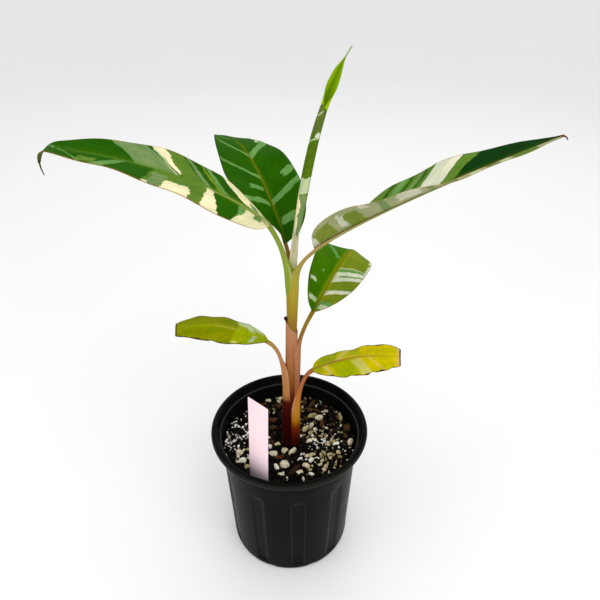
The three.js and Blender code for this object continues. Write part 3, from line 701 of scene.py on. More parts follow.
def stretch(x, y, z, centre):
    bpy.ops.transform.resize(value=(x, y, z), center_override=centre)


def shift(offset):
    bpy.ops.transform.translate(value=offset)


def start(name):
    """Names the primitive that was just added and gives it to the caller."""
    piece = bpy.context.object
    piece.name = name
    piece.data.name = name
    return piece


def own_copy(source, name):
    piece = source.copy()
    piece.data = source.data.copy()
    piece.name = name
    piece.data.name = name
    bpy.context.scene.collection.objects.link(piece)
    return piece


def apply_modifier(piece, kind, **settings):
    bpy.context.view_layer.objects.active = piece
    modifier = piece.modifiers.new(kind.title(), kind)
    for name, value in settings.items():
        setattr(modifier, name, value)
    bpy.ops.object.modifier_apply(modifier=modifier.name)


def smooth(piece, angle=None):
    bpy.ops.object.select_all(action="DESELECT")
    bpy.context.view_layer.objects.active = piece
    piece.select_set(True)
    if angle is None:
        bpy.ops.object.shade_smooth()
    else:
        bpy.ops.object.shade_smooth_by_angle(angle=math.radians(angle))


def wear(piece, *materials):
    piece.data.materials.clear()
    for material in materials:
        piece.data.materials.append(material)


def stand_for(piece, node):
    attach(piece, "root")
    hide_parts(node)


# ---- the rule that every leaf follows ------------------------------------------------------


def lerp(start_value, end_value, share):
    return start_value + (end_value - start_value) * share


def clamp(value):
    return min(max(value, 0), 1)


def smoothstep(value, low, high):
    share = clamp((value - low) / (high - low))
    return share * share * (3 - 2 * share)


def along_blade(values, s):
    """A value given at the start, middle and end of a length, read off a smooth curve."""
    first, middle, last = values
    return first * (1 - s) * (1 - 2 * s) + middle * 4 * s * (1 - s) + last * s * (2 * s - 1)


def direction(heading, climb):
    flat = math.cos(math.radians(climb))
    return Vector((flat * math.cos(math.radians(heading)), flat * math.sin(math.radians(heading)),
                   math.sin(math.radians(climb))))


def stem_centre(height):
    return Vector((STEM_FOOT_X + STEM_LEAN * (height - STEM_FOOT), 0, height))


def stem_radius(height):
    for (low, narrow), (high, wide) in zip(STEM_TAPER, STEM_TAPER[1:]):
        if height <= high:
            return lerp(narrow, wide, clamp((height - low) / (high - low)))
    return STEM_TAPER[-1][1]


def half_width(leaf, s):
    bare = leaf.get("bare", 0)
    t = max(s - bare, 0) / (1 - bare) * leaf["trimmed"]
    if t < leaf["widest"]:
        shape = (1 - (1 - t / leaf["widest"]) ** 2) ** (leaf.get("shoulder", SHOULDER) / 2)
    else:
        fall = clamp((t - leaf["widest"]) / (1 - leaf["widest"]))
        shape = max(math.cos(math.pi / 2 * fall ** TAPER_REACH), 0) ** leaf.get("taper", TAPER_POINT)
    if "drip" in leaf:
        return max(leaf["half_width"] * shape * (1 - smoothstep(s, *leaf["drip"])), DRIP_HALF_WIDTH)
    return max(leaf["half_width"] * shape, TIP_HALF_WIDTH)


def blade_climb(leaf, s):
    begins, power = leaf.get("hang", (DROOP_START, DROOP_POWER))
    hang = clamp((s - begins) / (1 - begins))
    base, tip = leaf["climb"]
    return lerp(base, tip, s ** leaf["arch"]) - leaf["droop"] * hang ** power


def midrib_stations(leaf):
    """Places along the midrib with the heading, climb and roll of the blade there."""
    stations = []
    place = Vector(leaf["base"])
    for row in range(ROWS + 1):
        s = row / ROWS
        if row > 0:
            before = (row - 0.5) / ROWS
            step = direction(leaf["heading"] + leaf["veer"] * before, blade_climb(leaf, before))
            place = place + step * (leaf["length"] / ROWS)
        stations.append({
            "s": s, "place": place.copy(), "heading": leaf["heading"] + leaf["veer"] * s,
            "climb": blade_climb(leaf, s), "roll": along_blade(leaf["roll"], s),
        })
    return stations


# ---- blades -------------------------------------------------------------------------------


def flat_blade():
    """A grid one unit long and two wide, with its columns closer together beside the midrib."""
    bpy.ops.mesh.primitive_grid_add(x_subdivisions=ROWS, y_subdivisions=2 * HALF_COLUMNS, size=2)
    piece = start("flat_blade")
    edit(piece)
    bpy.ops.mesh.select_all(action="SELECT")
    stretch(0.5, 1, 1, (0, 0, 0))
    shift((0.5, 0, 0))
    for column in range(1, HALF_COLUMNS):
        even = column / HALF_COLUMNS
        pick_where(piece, lambda place: abs(abs(place.y) - even) < 0.001)
        stretch(1, even ** 0.3, 1, (0, 0, 0))
    done()
    return piece


def remember_layout(piece, leaf):
    """Keeps each point's share of the length, share of the width and distance off the midrib."""
    layout = piece.data.attributes.new("leaf", "FLOAT_VECTOR", "POINT")
    for vertex in piece.data.vertices:
        s, across = vertex.co.x, vertex.co.y
        layout.data[vertex.index].vector = (s, across, half_width(leaf, s) * across * MM)


def half_angles(leaf, side, s):
    """How steeply one half rises from the midrib, and how far it rolls over by its margin."""
    if "scroll" not in leaf:
        return along_blade(leaf[f"fold_{side}"], s), 0
    rolled, opened = leaf["scroll"][side]
    share = smoothstep(s, *leaf["scroll"]["opens"])
    return lerp(rolled[0], opened[0], share), lerp(rolled[1], opened[1], share)


def kept_width(leaf, side, s):
    """1, or less where a nick in the margin makes the half narrower."""
    kept = 1
    for at, reach, depth in leaf.get("nicks", {}).get(side, []):
        kept -= depth * max(1 - abs(s - at) / reach, 0)
    return kept


def roll_over(piece, columns, degrees):
    """Rolls a half over: at each column all that lies beyond it turns, more so near the margin."""
    bends = len(columns) - 1
    for bend in range(bends):
        points = bmesh.from_edit_mesh(piece.data).verts
        points.ensure_lookup_table()
        hinge = points[columns[bend]].co.copy()
        pick(piece, columns[bend + 1:])
        turn(degrees * (bend + 1) / (bends * (bends + 1) / 2), "X", hinge)


def shape_blade(piece, leaf, wave):
    rows = [[] for _ in range(ROWS + 1)]
    for vertex in piece.data.vertices:
        rows[round(vertex.co.x * ROWS)].append((vertex.co.y, vertex.index))
    edit(piece)
    for row, station in zip(rows, midrib_stations(leaf)):
        s = station["s"]
        width = half_width(leaf, s)
        flat = 1 if "scroll" in leaf else min(width / FLAT_UNTIL, 1)
        ripple = wave * math.sin(s * 23) * smoothstep(s, 0.08, 0.3) * (1 - smoothstep(s, 0.85, 1))
        centre = (s, 0, 0)
        for side, sign in (("left", 1), ("right", -1)):
            columns = [number for across, number in sorted(row, key=abs_first) if across * sign > 0.001]
            rise, rolled = half_angles(leaf, side, s)
            pick(piece, columns)
            stretch(1, width * kept_width(leaf, side, s) * MM, 1, centre)
            turn(sign * (rise + sign * ripple) * flat, "X", centre)
            if rolled:
                roll_over(piece, columns, sign * rolled)
        pick(piece, [number for _, number in row])
        place = station["place"] * MM
        shift(place - Vector(centre))
        turn(station["roll"], "X", place)
        turn(-station["climb"], "Y", place)
        turn(station["heading"], "Z", place)
    done()


def abs_first(pair):
    return abs(pair[0])


def make_blade(template, name, leaf):
    piece = own_copy(template, f"leaf_{name}")
    remember_layout(piece, leaf)
    shape_blade(piece, leaf, 0 if "scroll" in leaf else WAVE)
    apply_modifier(piece, "SUBSURF", levels=1, render_levels=1)
    top_points = len(piece.data.vertices)
    apply_modifier(piece, "SOLIDIFY", thickness=BLADE_THICKNESS * MM, offset=0)
    layer = piece.data.attributes.new("underside", "FLOAT", "POINT")
    for number in range(top_points, len(piece.data.vertices)):
        layer.data[number].value = 1
    smooth(piece)
    wear(piece, blade_finish(name))
    stand_for(piece, f"blade_{name}")


# ---- stalks, sheaths and stem -------------------------------------------------------------


def straight_tube(name, sides, rings):
    """A tube of unit radius with a ring at every unit of height, open at both ends."""
    bpy.ops.mesh.primitive_circle_add(vertices=sides, radius=1, fill_type="NOTHING",
                                      rotation=(0, 0, -math.pi / 2))
    piece = start(name)
    bpy.ops.object.transform_apply(location=False, rotation=True, scale=False)
    edit(piece)
    bpy.ops.mesh.select_all(action="SELECT")
    for _ in range(rings - 1):
        bpy.ops.mesh.extrude_region_move(TRANSFORM_OT_translate={"value": (0, 0, 1)})
    for end in (0, rings - 1):
        pick_where(piece, lambda place: abs(place.z - end) < 0.01)
        bpy.ops.mesh.edge_face_add()
    bpy.ops.mesh.select_all(action="SELECT")
    bpy.ops.mesh.normals_make_consistent(inside=False)
    done()
    return piece


def seat_rings(piece, rings):
    """Moves each ring of a straight tube to its place. A ring has centre, radius, heading, climb,
    roll and channel, which squashes the side that faces the stem."""
    rows = [[] for _ in rings]
    for vertex in piece.data.vertices:
        rows[round(vertex.co.z)].append((vertex.index, vertex.co.x))
    edit(piece)
    for level, (row, ring) in enumerate(zip(rows, rings)):
        centre = (0, 0, level)
        pick(piece, [number for number, outwards in row if outwards < -0.05])
        stretch(ring["channel"], ring["pinch"], 1, centre)
        pick(piece, [number for number, _ in row])
        stretch(ring["radius"] * MM, ring["radius"] * MM, 1, centre)
        place = ring["centre"] * MM
        shift(place - Vector(centre))
        turn(ring["roll"], "Z", place)
        turn(90 - ring["climb"], "Y", place)
        turn(ring["heading"], "Z", place)
    done()


def petiole_rings(leaf):
    """The sheath up the stem, then the free stalk, each ring with how far it has climbed."""
    aside = direction(leaf["side"], 0) * leaf["offset"]
    foot, fork = leaf["foot"], leaf["fork"]
    foot_radius, fork_radius, end_radius = leaf["radius"]
    rings = []
    for row in range(SHEATH_ROWS):
        share = row / SHEATH_ROWS
        height = lerp(foot, fork, share)
        rings.append({
            "centre": stem_centre(height) + aside, "radius": lerp(foot_radius, fork_radius, share),
            "heading": leaf["side"], "climb": 90, "roll": 0, "channel": 1, "pinch": STALK_OVAL,
            "climbed": share,
        })
    leaves = stem_centre(fork) + aside
    forward = direction(leaf["heading"], leaf["climb"][0])
    end = Vector(leaf["base"])
    first = leaves + Vector((0, 0, leaf["lift"]))
    second = end - forward * leaf["ease"]
    swing = (leaf["heading"] - leaf["side"] + 180) % 360 - 180
    for row in range(STALK_ROWS + 1):
        t = row / STALK_ROWS
        u = 1 - t
        centre = leaves * u ** 3 + first * (3 * u * u * t) + second * (3 * u * t * t) + end * t ** 3
        run = (first - leaves) * (u * u) + (second - first) * (2 * u * t) + (end - second) * (t * t)
        climb = math.degrees(math.asin(clamp(run.normalized().z)))
        rings.append({
            "centre": centre, "radius": lerp(fork_radius, end_radius, smoothstep(t, 0, 0.8)),
            "heading": leaf["side"] + swing * t, "climb": climb, "roll": leaf["roll"][0] * t,
            "channel": lerp(1, CHANNEL, smoothstep(t, 0.1, 0.6)), "pinch": STALK_OVAL, "climbed": 1 + t,
        })
    return rings


def midrib_rings(leaf):
    """The rib under the blade, from the stalk to just before the tip."""
    rings = []
    for station in midrib_stations(leaf)[1:-1]:
        s = station["s"]
        rings.append({
            "centre": station["place"], "radius": lerp(leaf["radius"][2], RIB_END, s ** 0.6),
            "heading": station["heading"], "climb": station["climb"], "roll": station["roll"],
            "channel": lerp(CHANNEL, 0.1, smoothstep(s, 0, 0.15)), "pinch": 1, "climbed": 2 + s,
        })
    return rings


def make_stalk(name, leaf):
    rings = petiole_rings(leaf) + midrib_rings(leaf)
    piece = straight_tube(f"stalk_{name}", STALK_SIDES, len(rings))
    layout = piece.data.attributes.new("stalk", "FLOAT_VECTOR", "POINT")
    for vertex in piece.data.vertices:
        round_it = abs(math.atan2(vertex.co.y, vertex.co.x)) / math.pi
        layout.data[vertex.index].vector = (rings[round(vertex.co.z)]["climbed"], round_it, 0)
    seat_rings(piece, rings)
    apply_modifier(piece, "SUBSURF", levels=1, render_levels=1)
    smooth(piece, 60)
    wear(piece, stalk_finish(name))
    stand_for(piece, f"petiole_{name}")


def upright_rings(levels):
    """Level rings round the stem's axis, one for each height and radius."""
    return [{"centre": stem_centre(height), "radius": radius, "heading": 0, "climb": 90, "roll": 0,
             "channel": 1, "pinch": 1} for height, radius in levels]


def make_stem():
    levels = STEM_TAPER + [(STEM_TAPER[-1][0] + 1.4, STEM_TAPER[-1][1] * 0.7)]
    piece = straight_tube("stem_core", STALK_SIDES, len(levels))
    seat_rings(piece, upright_rings(levels))
    smooth(piece, 50)
    wear(piece, stem_finish())
    stand_for(piece, "pseudostem")


def make_old_sheath():
    """A leaf base cut back long ago: a tube round the stem, cut through on a slant."""
    levels = []
    for row in range(OLD_SHEATH["rows"] + 1):
        height = lerp(OLD_SHEATH["bottom"], OLD_SHEATH["top"], row / OLD_SHEATH["rows"])
        swell = OLD_SHEATH["wall"] * smoothstep(height, *OLD_SHEATH["swells"])
        levels.append((height, max(stem_radius(height), OLD_SHEATH["inner"]) + swell))
    piece = straight_tube("old_leaf_base", STALK_SIDES, len(levels))
    seat_rings(piece, upright_rings(levels))
    edit(piece)
    bpy.ops.mesh.select_all(action="SELECT")
    cut_across = direction(OLD_SHEATH["cut_heading"], 0)
    normal = Vector((0, 0, OLD_SHEATH["width"])) + cut_across * OLD_SHEATH["cut_drop"]
    middle = stem_centre(OLD_SHEATH["top"] - OLD_SHEATH["cut_drop"] / 2) * MM
    bpy.ops.mesh.bisect(plane_co=middle, plane_no=normal.normalized(), clear_outer=True, use_fill=True)
    blunt = (OLD_SHEATH["top"] - OLD_SHEATH["blunt"]) * MM
    bpy.ops.mesh.select_all(action="SELECT")
    bpy.ops.mesh.bisect(plane_co=(0, 0, blunt), plane_no=(0, 0, 1), clear_outer=True, use_fill=True)
    done()
    smooth(piece, 40)
    wear(piece, old_sheath_finish())
    stand_for(piece, "old_sheath")
    make_sheath_curl()


def make_sheath_curl():
    """The dried, hollow end of the old leaf base, curled at the top of its cut."""
    radius, height = CURL["radius"] * MM, CURL["height"] * MM
    bpy.ops.mesh.primitive_cylinder_add(vertices=16, radius=radius, depth=height)
    piece = start("old_leaf_base_curl")
    edit(piece)
    bpy.ops.mesh.select_mode(type="FACE")
    for face in bmesh.from_edit_mesh(piece.data).faces:
        face.select = face.normal.z > 0.9
    bpy.ops.mesh.inset(thickness=CURL["wall"] * MM)
    bpy.ops.mesh.extrude_region_move(TRANSFORM_OT_translate={"value": (0, 0, -CURL["hollow"] * height)})
    bpy.ops.mesh.select_mode(type="VERT")
    pick_where(piece, lambda place: place.z < -0.4 * height)
    stretch(CURL["pinched"], CURL["pinched"], 1, (0, 0, 0))
    bpy.ops.mesh.select_all(action="SELECT")
    stretch(1, CURL["flat"], 1, (0, 0, 0))
    turn(CURL["lean"], "Y", (0, 0, 0))
    shift(Vector(CURL["place"]) * MM)
    done()
    apply_modifier(piece, "SUBSURF", levels=2, render_levels=2)
    smooth(piece)
    wear(piece, crumb_finish("dried_sheath", shade(58, 34, 26), shade(26, 14, 11), 500, 0.7))
    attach(piece, "root")


def make_tail(name, leaf):
    """The dry thread that hangs from a leaf's tip."""
    last = midrib_stations(leaf)[-1]
    place = last["place"] - direction(last["heading"], last["climb"]) * TAIL["overlap"]
    step = (leaf["tail"] + TAIL["overlap"]) / TAIL["rows"]
    rings = []
    for row in range(TAIL["rows"] + 1):
        bend = leaf["tail_turn"] * max(row - TAIL["straight"], 0) / (TAIL["rows"] - TAIL["straight"])
        climb = last["climb"] - bend
        rings.append({
            "centre": place.copy(), "radius": lerp(*TAIL["radius"], row / TAIL["rows"]),
            "heading": last["heading"], "climb": climb, "roll": 0, "channel": 1, "pinch": 1,
        })
        place += direction(last["heading"], climb) * step
    piece = straight_tube(f"tip_thread_{name}", TAIL["sides"], len(rings))
    seat_rings(piece, rings)
    smooth(piece)
    wear(piece, crumb_finish(f"{name}_thread", shade(96, 62, 36), shade(52, 30, 20), 300, 0.6))
    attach(piece, "root")


# ---- pot ----------------------------------------------------------------------------------


def wall_radius(height):
    return lerp(POT["base_radius"], POT["body_radius"], height / POT["collar_bottom"])


def steps_from(radius, height, steps):
    return [(POT[radius] + out, POT[height] + up) for out, up in steps]


def pot_profile():
    """Radius and height from the middle of the base up the outside, over the lip and down inside."""
    lip = (POT_TOP - POT["lip_bottom"]) / 2
    lip_x, lip_z = POT_LIP - lip, POT["lip_bottom"] + lip
    round_base = [(POT["base_radius"] - POT["base_round"] * (1 - math.sin(math.radians(a))),
                   POT["base_round"] * (1 - math.cos(math.radians(a)))) for a in (0, 30, 60, 90)]
    low, high = FLUTE["bottom"] + FLUTE["fade"], FLUTE["top"] - FLUTE["fade"]
    fluted = [FLUTE["bottom"] + FLUTE["fade"] * k / 4 for k in range(5)]
    fluted += [lerp(low, high, k / 6) for k in range(1, 6)]
    fluted += [FLUTE["top"] - FLUTE["fade"] * (1 - k / 4) for k in range(5)]
    outside = [(wall_radius(height), height) for height in fluted]
    collar = [(POT["body_radius"], POT["collar_bottom"] - 0.8)]
    collar += steps_from("collar_radius", "collar_bottom", COLLAR_FOOT)
    collar.append((POT["collar_radius"], POT["collar_top"]))
    collar += steps_from("collar_radius", "lip_bottom", LIP_ROOT)
    over = [(lip_x + lip * math.cos(math.radians(a)), lip_z + lip * math.sin(math.radians(a)))
            for a in range(-80, 91, 17)]
    inside = [(POT_LIP - POT["lip_width"], POT_TOP - 0.5)]
    inside += steps_from("ledge_radius", "ledge_height", LEDGE)
    throat = POT["collar_radius"] - POT["wall"]
    shaft = wall_radius(POT["collar_bottom"]) - FLUTE["depth"] - POT["wall"]
    bottom = POT["base_radius"] - FLUTE["depth"] - POT["wall"]
    inside += [(throat, POT["ledge_height"] - 1), (throat, POT["collar_bottom"]),
               (shaft, POT["collar_bottom"] - 2), (bottom, POT["floor"] + 1), (bottom - 1, POT["floor"])]
    return round_base + outside + collar + over + inside


def in_strip(place, level, low, high):
    """Whether a point of the wall is at this height and this many degrees in from a panel's side."""
    if abs(place.z / MM - level) > 0.01 or math.hypot(place.x, place.y) / MM < wall_radius(level) - 0.5:
        return False
    pitch = 360 / FLUTE["count"]
    around = (math.degrees(math.atan2(place.y, place.x)) - FLUTE["first_panel"]) % pitch
    return low < min(around - FLUTE["panel"], pitch - around) <= high


def carve_flutes(piece):
    """Sets the strips between the raised panels back, more gently at their sides and ends."""
    for level in sorted({round(z, 3) for r, z in pot_profile() if FLUTE["bottom"] < z < FLUTE["top"]}):
        end = smoothstep(min(level - FLUTE["bottom"], FLUTE["top"] - level), 0, FLUTE["fade"])
        if end == 0:
            continue
        for low, high, share in FLUTE["steps"]:
            pick_where(piece, lambda place: in_strip(place, level, low, high))
            factor = 1 - FLUTE["depth"] * share * end / wall_radius(level)
            stretch(factor, factor, 1, (0, 0, 0))


def make_pot():
    profile = pot_profile()
    first_radius = profile[0][0]
    bpy.ops.mesh.primitive_circle_add(vertices=POT["segments"], radius=first_radius * MM,
                                      fill_type="TRIFAN")
    piece = start("nursery_pot")
    edit(piece)
    rim = first_radius
    pick_where(piece, lambda place: place.xy.length > 0.001)
    for (radius, height), (before, below) in zip(profile[1:], profile):
        bpy.ops.mesh.extrude_region_move(TRANSFORM_OT_translate={"value": (0, 0, (height - below) * MM)})
        stretch(radius / rim, radius / rim, 1, (0, 0, height * MM))
        rim = radius
    bpy.ops.mesh.extrude_region_move(TRANSFORM_OT_translate={"value": (0, 0, 0)})
    bpy.ops.mesh.merge(type="CENTER")
    carve_flutes(piece)
    bpy.ops.mesh.select_all(action="SELECT")
    bpy.ops.mesh.normals_make_consistent(inside=False)
    done()
    cut_notches(piece)
    smooth(piece, 32)
    wear(piece, pot_finish())
    stand_for(piece, "pot")


def cut_notches(pot):
    """Small drainage slots through the edge of the base."""
    cutters = []
    block = (NOTCH["reach"] * 2 * MM, NOTCH["width"] * MM, NOTCH["height"] * 2 * MM)
    edge = POT["base_radius"] * MM
    for number in range(NOTCH["count"]):
        heading = math.radians(NOTCH["first"] + number * 360 / NOTCH["count"])
        place = (edge * math.cos(heading), edge * math.sin(heading), 0)
        bpy.ops.mesh.primitive_cube_add(size=1, location=place, rotation=(0, 0, heading), scale=block)
        cutters.append(bpy.context.object)
    bpy.ops.object.select_all(action="DESELECT")
    for cutter in cutters:
        cutter.select_set(True)
    bpy.context.view_layer.objects.active = cutters[0]
    bpy.ops.object.join()
    cutter = bpy.context.object
    apply_modifier(pot, "BOOLEAN", object=cutter, operation="DIFFERENCE", solver="EXACT")
    bpy.data.objects.remove(cutter)


# ---- growing mix and label ----------------------------------------------------------------


def mix_height(x, y):
    """Height of the mix's surface: level round the stem, rising to the wall."""
    radius = math.hypot(x, y)
    return MIX["top"] + MIX["rim_rise"] * smoothstep(radius, MIX["level_to"], MIX["slope_to"])


def make_mix():
    """The bed that the loose grains lie on, uneven on top and filling the pot."""
    top = MIX["top"] + MIX["rim_rise"]
    low = POT["floor"] + 0.5
    bpy.ops.mesh.primitive_cylinder_add(vertices=MIX["sides"], radius=MIX["radius"] * MM,
                                        depth=(top - low) * MM, location=(0, 0, (top + low) / 2 * MM))
    piece = start("growing_mix_bed")
    bpy.ops.object.transform_apply(location=True, rotation=False, scale=False)
    edit(piece)
    pick_where(piece, lambda place: place.z < 0.01)
    shrink = (POT["base_radius"] - FLUTE["depth"] - POT["wall"] - MIX["gap"]) / MIX["radius"]
    stretch(shrink, shrink, 1, (0, 0, 0))
    bpy.ops.mesh.select_mode(type="FACE")
    mesh = bmesh.from_edit_mesh(piece.data)
    for face in mesh.faces:
        face.select = face.normal.z > 0.9
    for _ in range(MIX["rings"]):
        bpy.ops.mesh.inset(thickness=MIX["ring"] * MM)
    bpy.ops.mesh.select_mode(type="VERT")
    for vertex in bmesh.from_edit_mesh(piece.data).verts:
        if vertex.co.z > (top - 1) * MM:
            x, y = vertex.co.x / MM, vertex.co.y / MM
            vertex.co.z = (mix_height(x, y) + crumble(x, y)) * MM
    done()
    smooth(piece, 50)
    wear(piece, crumb_finish("dark_mix", shade(18, 14, 11), shade(4, 3, 2), 420, 0.95))
    stand_for(piece, "growing_mix")


def crumble(x, y):
    """The small ups and downs of the bed, in millimetres."""
    return 0.6 * math.sin(x * 1.1 + 2) * math.cos(y * 1.3) - 0.5


LUMPS = 5
MANY = 100  # more grains than this of one kind get the rounder lump with fewer faces


def crumb_shapes(kind, facts, seed):
    """A few lumps, each a sphere pushed about, with fewer faces where hundreds are strewn."""
    shapes = []
    for number in range(LUMPS):
        if facts["count"] > MANY:
            bpy.ops.mesh.primitive_uv_sphere_add(segments=7, ring_count=5, radius=0.53)
        else:
            bpy.ops.mesh.primitive_ico_sphere_add(subdivisions=2, radius=0.5)
        lump = start(f"{kind}_lump")
        edit(lump)
        bpy.ops.mesh.select_all(action="SELECT")
        bpy.ops.transform.vertex_random(offset=facts["jag"], seed=seed + number)
        done()
        shapes.append(([vertex.co.copy() for vertex in lump.data.vertices],
                       [tuple(face.vertices) for face in lump.data.polygons]))
        bpy.data.objects.remove(lump)
    return shapes


# Each kind of grain: how many are strewn, their smallest and largest size, how slim and flat they
# are, their jaggedness, the pale and deep tone of each finish, and the (x, y, spread) clusters that
# they lie in, where (0, 0, 0) is all over. "placed" are single grains that stand out, each as
# (x, y, size, slimness, heading). Kinds that keep apart leave room round their larger grains.
GRAINS = {
    "bark_chips": {
        "count": 34, "size": (6, 12), "slim": 0.5, "flat": 0.34, "jag": 0.13, "apart": True,
        "tones": [((104, 58, 34), (52, 28, 17)), ((72, 48, 28), (28, 18, 11)),
                  ((94, 68, 36), (38, 26, 14))],
        "placed": [(4.2, -28.5, 12, 0.34, 52), (46, 13, 9, 0.7, 80), (44, 3, 8, 0.6, 100),
                   (-8, -15, 8, 0.5, 10)],
        "where": [(45, 8, 4), (38, 22, 6), (24, 34, 6), (-22, 26, 8), (-10, 28, 8), (-14, 8, 7),
                  (10, 38, 6)],
    },
    "white_pebbles": {
        "count": 10, "size": (4, 6.5), "slim": 0.6, "flat": 0.6, "jag": 0.07, "apart": True,
        "tones": [((250, 248, 240), (206, 198, 178)), ((238, 230, 208), (176, 158, 122))],
        "placed": [(2.4, -9.4, 9, 0.38, 50), (12.8, -24.5, 7, 0.62, -25), (7.6, -32, 7, 0.6, 30),
                   (-9.4, -26, 7.5, 0.42, -62), (-5.6, -34, 6, 0.55, -20), (20.5, 2.2, 4.4, 0.8, 0),
                   (36.7, -4, 6, 0.7, 20), (25.8, -29.5, 4.4, 0.8, 40), (-16, -4, 5, 0.8, 0),
                   (-35.4, -21, 6.6, 0.8, 20), (-10, 43, 4.4, 0.7, 0), (24, 25, 7.5, 0.75, 10)],
        "where": [(-34, -22, 4), (2, -30, 8), (18, -24, 8)],
    },
    "pumice": {
        "count": 32, "size": (3.4, 5.6), "slim": 0.72, "flat": 0.66, "jag": 0.1, "apart": True,
        "tones": [((226, 214, 176), (146, 126, 84)), ((204, 192, 142), (122, 104, 62)),
                  ((240, 234, 212), (168, 152, 116))],
        "placed": [(-12.6, -12, 8, 0.62, 0), (-3.6, -8.6, 6, 0.95, 0), (-3.6, -23, 7.6, 0.95, 0),
                   (15.6, 1, 6.4, 0.7, 60), (17.4, -13.4, 6, 0.6, 20), (47.5, -3, 7.5, 0.6, 72),
                   (41, 24, 9, 0.34, 100), (18, 27, 8, 0.4, 30), (12, 13.8, 7, 0.55, 60),
                   (-9.6, -2, 5.5, 0.7, 40), (-39, -13, 6, 0.85, 0), (-18.5, 44, 5, 0.8, 0),
                   (-8, 46.5, 5.4, 0.7, 10), (-31, -27, 5.4, 0.8, 0)],
        "where": [(29, -21, 4), (10, 30, 7), (-14, 40, 6), (28, 14, 9), (26, 30, 7), (-38, -16, 5)],
    },
    "mossy_grains": {
        "count": 84, "size": (2.2, 4.2), "slim": 0.7, "flat": 0.7, "jag": 0.12, "apart": True,
        "tones": [((206, 198, 152), (120, 106, 62)), ((162, 148, 104), (84, 68, 40))],
        "where": [(29, -20, 5), (12, 28, 7), (20, 18, 7), (-14, 40, 6), (32, 26, 7), (34, 12, 6),
                  (16, 34, 6)],
    },
    "perlite": {
        "count": 290, "size": (1.1, 2.8), "slim": 0.85, "flat": 0.75, "jag": 0.1, "apart": True,
        "tones": [((252, 252, 250), (216, 214, 208)), ((236, 232, 220), (184, 176, 156))],
        "where": [(27, 8, 9), (29, -6, 8), (22, 20, 9), (30, 28, 8), (25, 4, 7), (-42, -6, 7),
                  (-40, 14, 8), (0, 0, 0)],
    },
    "specks": {
        "count": 320, "size": (0.6, 1.3), "slim": 0.8, "flat": 0.8, "jag": 0.08, "apart": False,
        "tones": [((240, 236, 226), (176, 166, 146)), ((150, 134, 104), (90, 76, 52))],
        "where": [(0, 0, 0), (28, 2, 12), (-42, 0, 9)],
    },
    "bark_crumbs": {
        "count": 1100, "size": (1.8, 5.4), "slim": 0.7, "flat": 0.6, "jag": 0.14, "apart": False,
        "tones": [((22, 17, 13), (4, 3, 2)), ((38, 26, 16), (9, 6, 4)), ((12, 11, 9), (2, 2, 2))],
        "where": [(0, 0, 0)],
    },
}
SEED = 11
CROWDED = 1.5  # grains at least this large keep clear of each other
KEEP_APART = 0.4  # a share of their two sizes added up
STEM_CLEAR = 6.5


def find_place(dice, facts, taken):
    """A free spot for one grain, and its size."""
    while True:
        cx, cy, spread = dice.choice(facts["where"])
        if spread:
            x, y = dice.gauss(cx, spread), dice.gauss(cy, spread)
        else:
            x, y = dice.uniform(-POT_LIP, POT_LIP), dice.uniform(-POT_LIP, POT_LIP)
        size = dice.uniform(*facts["size"])
        if math.hypot(x, y) > MIX["radius"] + 1 - size / 2:
            continue
        if math.hypot(x - STEM_FOOT_X, y) < STEM_CLEAR + size / 2:
            continue
        if size >= CROWDED and facts["apart"]:
            near = [math.hypot(x - at_x, y - at_y) < (size + other) * KEEP_APART
                    for at_x, at_y, other in taken]
            if any(near):
                continue
            taken.append((x, y, size))
        return x, y, size


def make_grains(kind, facts, seed, taken):
    """Lumps of one kind, strewn over the mix as a single mesh, with a finish dealt to each."""
    dice = random.Random(seed)
    shapes = crumb_shapes(kind, facts, seed)
    placed = facts.get("placed", [])
    points, faces, finishes = [], [], []
    for number in range(len(placed) + facts["count"]):
        lumps, lump_faces = dice.choice(shapes)
        if number < len(placed):
            x, y, size, slim, heading = placed[number]
            taken.append((x, y, size))
            tilt, sunk = dice.uniform(-10, 10), 0.2
        else:
            x, y, size = find_place(dice, facts, taken)
            slim, heading = facts["slim"] + dice.uniform(-0.16, 0.16), dice.uniform(0, 360)
            tilt, sunk = dice.uniform(-28, 28), dice.uniform(-0.1, 0.28)
        height = mix_height(x, y) + size * facts["flat"] * sunk
        turned = Matrix.Rotation(math.radians(heading), 4, "Z")
        tilted = Matrix.Rotation(math.radians(tilt), 4, "X")
        squashed = Matrix.Diagonal((size, size * slim, size * facts["flat"], 1))
        seat = Matrix.Translation(Vector((x, y, height))) @ turned @ tilted @ squashed
        first = len(points)
        points += [(seat @ point) * MM for point in lumps]
        faces += [tuple(first + corner for corner in face) for face in lump_faces]
        finishes += [dice.randrange(len(facts["tones"]))] * len(lump_faces)
    mesh = bpy.data.meshes.new(kind)
    mesh.from_pydata(points, [], faces)
    piece = bpy.data.objects.new(kind, mesh)
    bpy.context.scene.collection.objects.link(piece)
    wear(piece, *[crumb_finish(f"{kind}_skin_{number}", shade(*pale), shade(*deep), 700, 0.9)
                  for number, (pale, deep) in enumerate(facts["tones"])])
    for face, finish in zip(mesh.polygons, finishes):
        face.material_index = finish
    smooth(piece, 45)
    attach(piece, "root")


